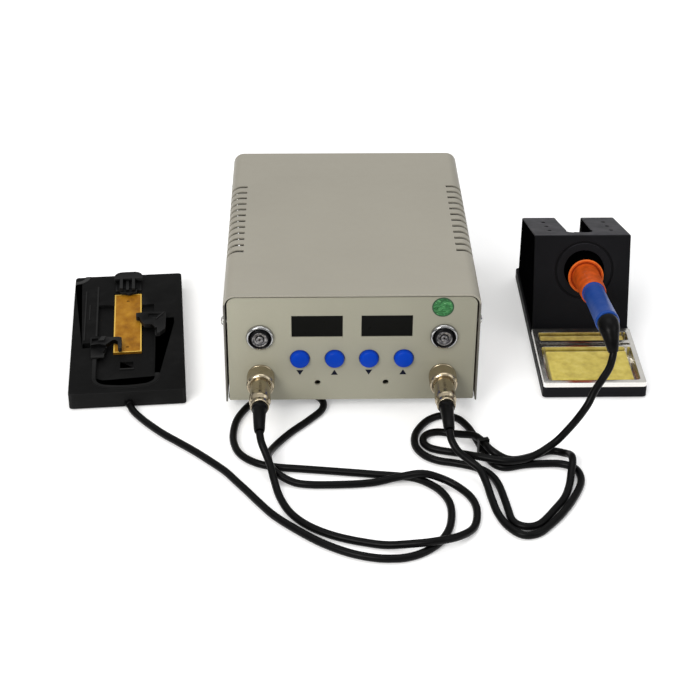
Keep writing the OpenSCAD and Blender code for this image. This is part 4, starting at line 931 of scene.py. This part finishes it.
def soft_block(name, node, x0, x1, y0, y1, z0, z1, r, mat, amp, seed, step=0.9, crown=0.0):
    """A dense rounded slab with an uneven torn surface, in holder millimetres."""
    bm = bmesh.new()
    nx, ny, nz = int((x1 - x0) / step), int((y1 - y0) / step), max(3, int((z1 - z0) / step))
    idx = {}

    def vert(i, j, k):
        if (i, j, k) not in idx:
            idx[(i, j, k)] = bm.verts.new((x0 + (x1 - x0) * i / nx, y0 + (y1 - y0) * j / ny, z0 + (z1 - z0) * k / nz))
        return idx[(i, j, k)]

    for i in range(nx):
        for j in range(ny):
            for k in (0, nz):
                bm.faces.new([vert(i, j, k), vert(i + 1, j, k), vert(i + 1, j + 1, k), vert(i, j + 1, k)])
    for i in range(nx):
        for k in range(nz):
            for j in (0, ny):
                bm.faces.new([vert(i, j, k), vert(i + 1, j, k), vert(i + 1, j, k + 1), vert(i, j, k + 1)])
    for j in range(ny):
        for k in range(nz):
            for i in (0, nx):
                bm.faces.new([vert(i, j, k), vert(i, j + 1, k), vert(i, j + 1, k + 1), vert(i, j, k + 1)])
    for v in bm.verts:
        c = v.co
        # round the box
        q = Vector((min(max(c.x, x0 + r), x1 - r), min(max(c.y, y0 + r), y1 - r), min(max(c.z, z0 + 0.4 * r), z1 - r)))
        d = c - q
        if d.length > 1e-6:
            k = Vector((d.x, d.y, d.z if d.z > 0 else d.z * 2.5))
            c2 = q + d.normalized() * min(d.length, r)
        else:
            c2 = c.copy()
        u, w = (c2.x - x0) / (x1 - x0), (c2.y - y0) / (y1 - y0)
        top = max(0.0, (c2.z - z0) / (z1 - z0))
        p = Vector((c2.x * 0.16 + seed, c2.y * 0.16, c2.z * 0.16))
        nz1 = noise.noise(p) * 0.9 + noise.noise(p * 4.1) * 0.45 + noise.noise(p * 11) * 0.3
        inset = amp * (0.45 + 0.35 * nz1)
        c2.z -= top * max(0.02, inset) - crown * top * (1 - (2 * u - 1) ** 4) * (1 - (2 * w - 1) ** 4)
        side = amp * (0.5 + 0.5 * noise.noise(p * 2.3 + Vector((7, 3, 1))))
        if u < 0.06:
            c2.x += side * (1 - u / 0.06)
        if u > 0.94:
            c2.x -= side * (u - 0.94) / 0.06
        if w < 0.08:
            c2.y += side * (1 - w / 0.08)
        if w > 0.92:
            c2.y -= side * (w - 0.92) / 0.08
        v.co = STD @ c2
    me = bpy.data.meshes.new(name)
    bm.to_mesh(me)
    bm.free()
    o = put(name, me, mat, BODY[node], node, sharp=80)
    return o


soft_block("sponge_pad", "sponge", 7.4, 65.1, 9.2, 47.4, 5.1, 9.4, 0.9, M["sponge_yellow"], 0.35, 1.7)
soft_block("wiping_strip_pad", "wiping_strip", 5.4, 66.0, 57.8, 67.2, 5.1, 10.2, 1.1, M["strip_gold"], 0.5, 9.2, 0.7)

# ------------------------------------------------------------------ iron
HL = 118.0
prof = rounded([(0, 8), (8.0, 8), (8.0, 45.15), (7.5, 45.3), (7.5, 46.4), (7.5, 58), (7.52, 70), (7.58, 86), (7.66, 100), (7.75, 109), (7.9, 113.5), (7.9, 116.2), (7.4, HL), (0, HL)],
               [0, 0.1, 0.1, 0.1, 0.3, 8, 8, 8, 6, 4, 2, 0.8, 0.4, 0])
lathe("iron_handle_grip", prof, IRN, M["handle_blue"], "iron", "iron_handle", n=128)
prof = rounded([(5.02, -0.8), (12.2, -0.8), (12.7, -0.3), (12.7, 0.6), (12.2, 1.1), (11.0, 1.1), (10.3, 0.55), (9.75, 0.6), (9.5, 1.6), (9.4, 12), (9.25, 22), (9.05, 33), (8.9, 43.4), (8.75, 44.8), (8.4, 45),
                (8.05, 45), (8.05, 7.9), (5.02, 7.9), (5.02, -0.8)],
               [0, 0.4, 0.5, 0.5, 0.4, 0.3, 0.3, 0.2, 0.6, 4, 4, 4, 0.6, 0.3, 0.1, 0.1, 0.1, 0.1, 0])[:-1]
# painted highlight on the flange's outer rim and painted shade in its groove
lit_rim_orange = rubber("flange_rim_highlight", (0.56, 0.105, 0.012), 0.5, 0.15)
groove_shade_orange = rubber("flange_groove_shade", (0.24, 0.026, 0.002), 0.5, 0.1)
lathe("iron_flange_silicone", prof, IRN, [M["flange_orange"], lit_rim_orange, groove_shade_orange], "iron", "iron_flange", n=128, closed=True,
      pick=lambda c: 1 if math.hypot(c.x, c.y) > 11.9 else 2 if 9.7 < math.hypot(c.x, c.y) < 11.0 and 0 < c.z < 1.2 else 0)
ib = [Vector(p) for p in ((0, 0, HL - 0.1), (0.2, -0.8, HL + 3.4), (0.8, -4.2, HL + 7.4), (1.8, -10, HL + 10.4), (2.9, -16.4, HL + 12.1))]
P = catmull(ib, 8)
n = len(P) - 1
rad = []
for i in range(n + 1):
    t = i / n
    q = float(np.interp(t, (0, 0.25, 0.4, 0.5, 0.62, 0.75, 0.9, 1.0), (7.0, 7.0, 6.75, 6.35, 5.4, 4.7, 3.9, 3.2)))
    if t < 0.03:
        q -= 0.2
    rad.append(q)
v, f = sweep([IRN @ p for p in P], [q / 1000 for q in rad], 48)
v2, f2 = lathe_data(rounded([(0, HL - 8), (4.5, HL - 8), (4.5, HL), (0, HL)], [0, 0.2, 0.1, 0]), 48)
V, F, K = join_data([(v, f), ([IRN @ Vector(q) for q in v2], f2)])
put("iron_boot_rubber", mesh_from(V, F), M["cord_black"], "iron", "iron_boot", sharp=40)
skin("iron_barrel", 0.15, 2)
skin("iron_nut", 0.15, 1, clamp=False)
skin("iron_tip", 0.1, 1)


# ------------------------------------------------------------------ floor and light
def studio():
    fm = Mat("floor", (0.86, 0.86, 0.86), 0.75)
    fm.base(fm.ramp(fm.noise(3, 2), [(0.3, 0.855), (0.7, 0.875)]))
    fm.b.inputs["Emission Color"].default_value = (1, 1, 1, 1)
    fm.b.inputs["Emission Strength"].default_value = 0.22
    me = bpy.data.meshes.new("floor")
    s = 12
    me.from_pydata([(-s, -s, -0.0002), (s, -s, -0.0002), (s, s, -0.0002), (-s, s, -0.0002)], [], [(0, 1, 2, 3)])
    me.materials.append(fm.m)
    o = bpy.data.objects.new("floor", me)
    scene.collection.objects.link(o)

    w = bpy.data.worlds.new("studio")
    scene.world = w
    w.use_nodes = True
    t = w.node_tree
    t.nodes.clear()
    out = t.nodes.new("ShaderNodeOutputWorld")
    tc = t.nodes.new("ShaderNodeTexCoord")
    sep = t.nodes.new("ShaderNodeSeparateXYZ")
    t.links.new(tc.outputs["Generated"], sep.inputs[0])
    ramp = t.nodes.new("ShaderNodeValToRGB")
    e = ramp.color_ramp.elements
    e[0].position, e[0].color = 0.0, (0.10, 0.10, 0.10, 1)
    e[1].position, e[1].color = 1.0, (1.0, 1.0, 1.0, 1)
    for pos, v in ((0.15, 0.25), (0.5, 0.8)):
        k = e.new(pos)
        k.color = (v, v, v, 1)
    t.links.new(sep.outputs[2], ramp.inputs[0])
    bg = t.nodes.new("ShaderNodeBackground")
    bg.inputs[1].default_value = 0.85
    t.links.new(ramp.outputs[0], bg.inputs[0])
    bg2 = t.nodes.new("ShaderNodeBackground")
    bg2.inputs[0].default_value = (0.95, 0.95, 0.95, 1)
    bg2.inputs[1].default_value = 1.0
    lp = t.nodes.new("ShaderNodeLightPath")
    mx = t.nodes.new("ShaderNodeMixShader")
    t.links.new(lp.outputs["Is Camera Ray"], mx.inputs[0])
    t.links.new(bg.outputs[0], mx.inputs[1])
    t.links.new(bg2.outputs[0], mx.inputs[2])
    t.links.new(mx.outputs[0], out.inputs[0])

    def area(name, loc, target, size, power, color=(1, 1, 1)):
        d = bpy.data.lights.new(name, "AREA")
        d.shape, d.size, d.size_y = "RECTANGLE", size[0], size[1]
        d.energy, d.color = power, color
        o = bpy.data.objects.new(name, d)
        scene.collection.objects.link(o)
        o.location = loc
        o.rotation_mode = "QUATERNION"
        o.rotation_quaternion = (Vector(target) - Vector(loc)).to_track_quat("-Z", "Y")

    area("key", (-0.85, -1.4, 1.2), (0, 0, 0), (0.9, 0.8), 24, (1.0, 0.985, 0.96))
    area("top", (0.0, 0.3, 1.9), (0, 0, 0), (1.6, 1.0), 8, (1, 1, 1))
    area("fill", (1.3, -0.7, 1.0), (0, 0, 0.03), (1.0, 1.0), 5, (0.96, 0.98, 1.0))


studio()
